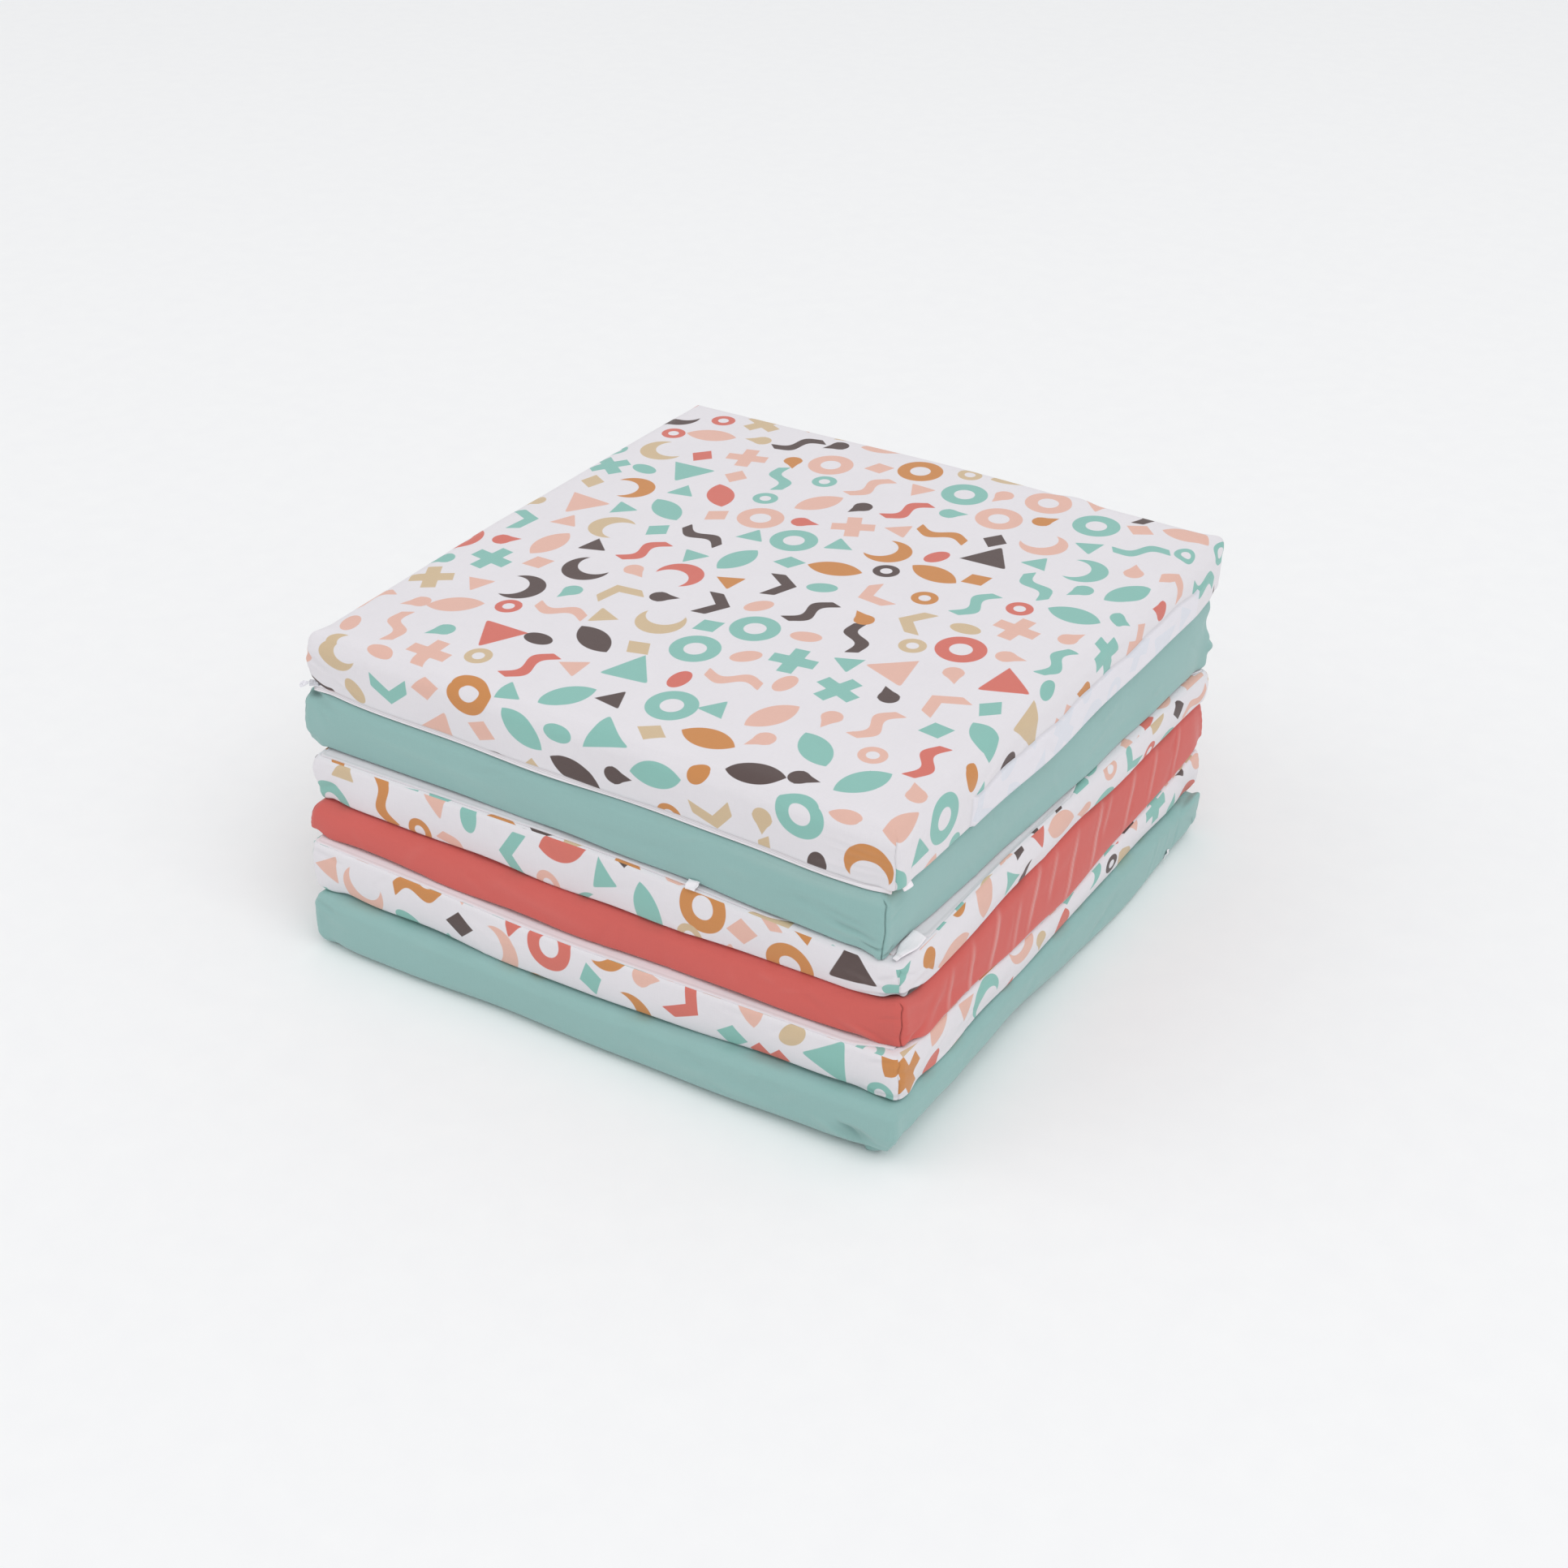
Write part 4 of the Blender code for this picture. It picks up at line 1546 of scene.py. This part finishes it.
@dataclass
class BackingCloth:
    """A thin plain cloth on the upper or lower face of a panel, seen at the rim."""

    name: str
    panel: CoveredPanel
    around: int = 640
    rings: tuple[float, ...] = (1, 2, 3, 4.5, 7, 10, 14, 20, 30, 60, 120, 200)

    def build(self, rack: Rack) -> bpy.types.Object:
        """Model the cloth and dress it.

        Args:
            rack: The finishes.

        Returns:
            The cloth.
        """
        above, edge = BACKINGS[self.panel.index]
        piece = Bench.drum(self.name + "_cloth", self.around, 1, len(self.rings), len(self.rings))
        a, b, c = Bench.unroll(piece.data, self.rings, self.rings).T
        reach = square_reach(a, b)
        rim = edge.inset(a / reach * HALF, b / reach * HALF) - BACKING_LAP
        inset = HALF - (HALF - rim) * reach
        x, y = plan_place(a, b, inset)
        flat_x, flat_y = x, y
        fade = smooth_step(1 - inset / PUSH_FADE)
        push = self.panel.side_push(x, y, np.full_like(x, float(above))) * fade
        way_x, way_y = outward(x, y)
        x, y = self.panel.in_stack(x + way_x * push, y + way_y * push)
        rise = (c + 1) / 2 * CLOTH
        if above:
            z = self.panel.top(x, y) + CLEAR + rise
        else:
            z = self.panel.foot(x, y) - CLEAR - CLOTH + rise
        Bench.lay_map(piece.data, flat_x, flat_y)
        Bench.shade(piece.data, 0.16 * hump((inset - rim) / MM, 2.6, 0.7))
        Bench.move(piece, np.stack((x, y, z), axis=1))
        Bench.fit(piece, Cloth.BACKING, self.name, rack.backing)
        return piece


@dataclass
class FrontZip:
    """The closed zip along the front of the top panel: a tape with two sewn lines."""

    panel: CoveredPanel
    lap_mm: float = 1.6
    lines: tuple[float, ...] = (0.34, 0.56, 0.74)

    def build(self, rack: Rack) -> bpy.types.Object:
        """Model the tape and dress it.

        Args:
            rack: The finishes.

        Returns:
            The tape.
        """
        piece = Bench.block("zip_front_tape", ((11, 11), (), (17,)))
        a, b, c = Bench.places(piece.data).T
        x = a * (HALF - TAPE_END)
        part = (c + 1) / 2
        close = smooth_step((x - HALF + 0.075) / 0.075)
        lines = [line + (1.0 - line) * 0.6 * close for line in self.lines]
        groove = sum(hump(part, line, 0.05) for line in lines)
        inset = (0.3 + 0.9 * part**2) * MM + 0.25 * MM * groove + (b + 1) / 2 * TAPE_THICK
        rim = np.full_like(x, -HALF)
        push = self.panel.side_push(x, rim, np.zeros_like(x))
        x_stack, y_stack = self.panel.in_stack(x, -HALF + inset - push)
        low = level_height(self.panel.lie.level - 1, x_stack, y_stack) + TOUCH / 2
        lift = np.minimum(self.panel.foot_lift(x, rim), FOOT_LIFT + TAPE_LIFT + 1.2 * MM)
        lift = lift - 3.2 * MM * smooth_step(1 - (x + HALF) / ZIP_REACH)
        high = self.panel.foot(x_stack, y_stack, 0.0) + lift + self.lap_mm * MM
        z = low + part * (high - low)
        Bench.lay_map(piece.data, x, z)
        # Painted shade in the grooves of the sewn lines, and the whole tape a little darker.
        Bench.shade(piece.data, 0.05 + 0.3 * np.clip(groove, 0, 1))
        Bench.move(piece, np.stack((x_stack, y_stack, z), axis=1))
        Bench.fit(piece, Cloth.TAPE, "zip_tape", rack.tape)
        return piece


@dataclass(frozen=True)
class TapeEnd:
    """A short end of tape that leaves a seam and curls. Millimetres and degrees."""

    name: str
    root: tuple[float, float, float]
    heading: float
    climb: float
    curl: float
    long: float
    wide: float
    twist: float
    folded: bool
    root_wide: float = 1.0
    rests_on: str = ""

    def build(self, rack: Rack) -> bpy.types.Object:
        """Model the tape end and dress it.

        Args:
            rack: The finishes.

        Returns:
            The tape end.
        """
        piece = Bench.block(self.name + "_tape", ((31,), (15,), (3,)))
        a, b, c = Bench.places(piece.data).T
        part = (a + 1) / 2
        climb = np.radians(self.climb + self.curl * part)
        slope = climb / 2 + math.radians(self.climb) / 2
        ahead, up = part * self.long * np.cos(slope), part * self.long * np.sin(slope)
        narrow = 1 - 0.10 * part**3 * np.abs(b) - 0.04 * np.sin(part * 9.0 + b)
        narrow = narrow * (self.root_wide + (1 - self.root_wide) * smooth_step(part / 0.6))
        rim = 1 - 0.7 * smooth_step((np.abs(b) - 0.86) / 0.14)
        ridge = 0.12 * np.sin(b * 40.0) + 0.45 * hump(np.abs(b), 0.8, 0.08)
        thick = (0.55 + 0.25 * float(self.folded)) * rim * (1 - 0.25 * part)
        off = c * thick + ridge * 0.3 * np.sign(c) * (np.abs(c) > 0.9)
        off = off + 0.9 * (1 - b**2) * part + 0.4 * np.sin(part * 7.0 + 2.0 * b)
        twist = np.radians(self.twist) * part
        across = b * self.wide / 2 * narrow
        side = across * np.cos(twist) - off * np.sin(twist)
        out = across * np.sin(twist) + off * np.cos(twist)
        ahead = ahead - out * np.sin(climb)
        up = up + out * np.cos(climb)
        x, y = turned(ahead, side, self.heading)
        places = np.stack((x + self.root[0], y + self.root[1], up + self.root[2]), axis=1)
        Bench.lay_map(piece.data, part * self.long * MM, b * self.wide / 2 * MM)
        Bench.shade(piece.data, 0.14 * np.clip(hump(b, 0.72, 0.05) + hump(part, 0.14, 0.03), 0, 1))
        Bench.move(piece, places * MM)
        Bench.fit(piece, Cloth.TAPE, self.name, rack.tape)
        if self.rests_on:
            self.wide * MM
            self.long * MM
        return piece


TAPE_ENDS = (
    TapeEnd("tab_corner", (287.4, -274.5, 232.4), 0, -42, -22, 9, 12, 10, True),
    TapeEnd("tab_side", (293.0, -294, 169.8), 88, 1, 5, 38, 14, 13, False, 0.3, "panel_3_cover"),
    TapeEnd("tab_front", (106.0, -295, 178.2), -90, -18, -25, 9, 11, 4, False),
    TapeEnd("tab_foot", (317.6, 190, 8.0), 0, 62, 12, 9, 7, 6, False),
)


@dataclass(frozen=True)
class ZipSlider:
    """The slider that closes the front zip, and the pull that hangs on it. Millimetres."""

    place: tuple[float, float, float] = (-304.2, -283.8, 237.0)
    heading: float = 208.0
    body: tuple[float, float, float] = (9.0, 6.2, 4.0)
    pull: tuple[float, float, float] = (8.0, 5.2, 1.2)
    roll: float = 50.0

    def carry(self, piece: bpy.types.Object, material: bpy.types.Material, node: str) -> None:
        """Bring a piece from the slider's own axes to its place, and dress it.

        Args:
            piece: The piece, with the pull's way along X.
            material: Its finish.
            node: Name of the CAD node that it stands for.
        """
        x, y, z = Bench.places(piece.data).T
        x, y = turned(x, y, self.heading)
        Bench.move(piece, (np.stack((x, y, z), axis=1) + self.place) * MM)
        bpy.ops.object.shade_smooth_by_angle(angle=math.radians(40))
        Bench.fit(piece, Cloth.ZIP, node, material)

    def finish(self, piece: bpy.types.Object, width: float) -> None:
        """Round the edges of a piece of metal.

        Args:
            piece: The piece.
            width: Width of the rounding, in millimetres.
        """
        Bench.take(piece)
        bevel = piece.modifiers.new("edges", "BEVEL")
        bevel.width, bevel.segments, bevel.limit_method = width, 3, "ANGLE"
        bevel.angle_limit = math.radians(35)
        bpy.ops.object.modifier_apply(modifier=bevel.name)

    def build_body(self, rack: Rack) -> bpy.types.Object:
        """Model the slider: a wedge with a slot for the teeth round it and a bridge on top.

        Args:
            rack: The finishes.

        Returns:
            The slider.
        """
        piece = Bench.block("slider_body", ((7,), (7,), (6,)))
        a, b, c = Bench.places(piece.data).T
        long, wide, high = self.body
        waist = 0.82 + 0.18 * (1 - a) / 2 - 0.16 * hump(a, 0, 0.5)
        slot = 1 - 0.26 * (np.abs(c) < 0.3) * (np.abs(b) > 0.7)
        bridge = (c > 0.6) * (np.abs(b) < 0.3) * np.cos(a * math.pi / 2) * 0.75
        x = a * long / 2 * (1 - 0.10 * b**2)
        Bench.move(piece, np.stack((x, b * wide / 2 * waist * slot, c * high / 2 + bridge), axis=1))
        self.finish(piece, 0.22)
        self.carry(piece, rack.metal, "zip_slider")
        return piece

    def build_pull(self, rack: Rack) -> bpy.types.Object:
        """Model the pull: a flat drop with a narrow neck and a hollow along its middle.

        Args:
            rack: The finishes.

        Returns:
            The pull.
        """
        piece = Bench.block("slider_pull", ((23,), (11,), (3,)))
        a, b, c = Bench.places(piece.data).T
        long, wide, thick = self.pull
        part = (a + 1) / 2
        width = 0.5 + 0.5 * smooth_step(part / 0.55)
        end = np.sqrt(np.clip(1 - (np.clip((part - 0.8) / 0.2, 0, 1) * 0.92) ** 2, 0, 1))
        hollow = 0.30 * smooth_step(1.4 - np.hypot((part - 0.62) / 0.20, b / 0.50)) * np.sign(c)
        x = self.body[0] / 2 + 0.9 + part * long
        z = c * thick / 2 * (1 - 0.45 * np.abs(b) ** 3) - hollow * (np.abs(c) > 0.9)
        y = b * wide / 2 * width * end
        droop = -(part**1.3) * 2.4
        roll = math.radians(self.roll)
        y, z = y * math.cos(roll) + z * math.sin(roll), z * math.cos(roll) - y * math.sin(roll) + droop
        Bench.move(piece, np.stack((x, y, z), axis=1))
        self.finish(piece, 0.12)
        self.carry(piece, rack.pull, "zip_pull")
        return piece


@dataclass
class Studio:
    """The pale floor, the soft lights and the camera."""

    floor_paint: Paint = (252, 252, 252)
    sky_strength: float = 0.74
    lens_mm: float = 54.41
    distance: float = 2.28
    side_shift: float = -0.0058
    rise_shift: float = -0.073

    def build(self) -> None:
        """Put up the studio."""
        self.lay_floor()
        self.hang_lights()
        self.place_camera()

    def lay_floor(self) -> None:
        """Lay a wide pale floor under the stack."""
        bpy.ops.object.select_all(action="DESELECT")
        bpy.ops.mesh.primitive_plane_add(size=30.0, location=(0, 0, 0))
        floor = bpy.context.active_object
        floor.name = "floor"
        loom = Loom("floor_paper")
        grain = loom.noise(loom.signal("ShaderNodeTexCoord", output="Object"), 30.0)
        colour = loom.blend(grain, linear(self.floor_paint), linear((248, 248, 249)))
        loom.feed(Base_Color=colour, Roughness=0.9, Specular_IOR_Level=0.1)
        floor.data.materials.append(loom.material)

    def hang_lights(self) -> None:
        """Hang a wide soft key light over the front and fill the rest from all round."""
        world = bpy.data.worlds.new("studio")
        bpy.context.scene.world = world
        world.use_nodes = True
        sky = world.node_tree.nodes["Background"]
        sky.inputs[0].default_value = (0.98, 0.99, 1.0, 1.0)
        sky.inputs[1].default_value = self.sky_strength
        for name, place, size, power in (
            ("key", (5.4, -1.8, 9.6), 8.0, 300.0),
            ("fill", (-7.8, -4.8, 7.8), 9.0, 144.0),
        ):
            bpy.ops.object.select_all(action="DESELECT")
            bpy.ops.object.light_add(type="AREA", location=place)
            light = bpy.context.active_object
            light.name = name
            light.data.energy = power
            light.data.size = size
            aim = Vector((0.0, 0.0, 0.15)) - Vector(place)
            light.rotation_euler = aim.to_track_quat("-Z", "Y").to_euler()

    def place_camera(self) -> None:
        """Stand the camera at the photograph's angle."""
        right = Vector((0.8471, 0.5314, 0.0))
        back = Vector((0.4550, -0.7254, 0.5165))
        up = back.cross(right)
        place = -self.side_shift * right - self.rise_shift * up + self.distance * back
        bpy.ops.object.select_all(action="DESELECT")
        bpy.ops.object.camera_add(location=place)
        camera = bpy.context.active_object
        camera.matrix_world = Matrix.Translation(place) @ Matrix((right, up, back)).transposed().to_4x4()
        camera.data.lens = self.lens_mm
        camera.data.sensor_width = 36.0
        bpy.context.scene.camera = camera
        bpy.context.scene.view_settings.view_transform = "Standard"


def folds_of(index: int) -> list[Fold]:
    """Collect the folds of a panel: its small wrinkles, then those listed for it.

    Args:
        index: Number of the panel, from the top.

    Returns:
        The folds.
    """
    folds = Ripples(seed=20 + index, count=90, proud_mm=0.8).folds()
    folds += [Fold(side, *row) for side, rows in PLACED_FOLDS[index].items() for row in rows]
    if LIES[index].cloth is Cloth.CORAL:
        form = (STREAK_WIDE, STREAK_PROUD)
        # The streaks pale the coral as rubbed wear and painted sheen highlight.
        folds += [Fold(Side.RIGHT, *row, *form, STREAK_PALE * wear_and_highlight) for *row, wear_and_highlight in STREAKS]
    return folds


def main() -> None:
    """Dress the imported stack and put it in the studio."""
    logging.basicConfig(level=logging.INFO, format="%(message)s")
    rack, slider = Rack(), ZipSlider()
    panels = [CoveredPanel(index, folds_of(index)) for index in range(len(LIES))]
    makers = [panel.build for panel in panels]
    makers += [BackingCloth("backing_%d" % (index + 1), panels[index]).build for index in BACKINGS]
    makers.append(FrontZip(panels[0]).build)
    makers += [end.build for end in TAPE_ENDS]
    makers += [slider.build_body, slider.build_pull]
    for build in makers:
        piece = build(rack)
        LOG.info("%s: %d faces", piece.name, len(piece.data.polygons))
    Studio().build()


if __name__ == "__main__":
    main()
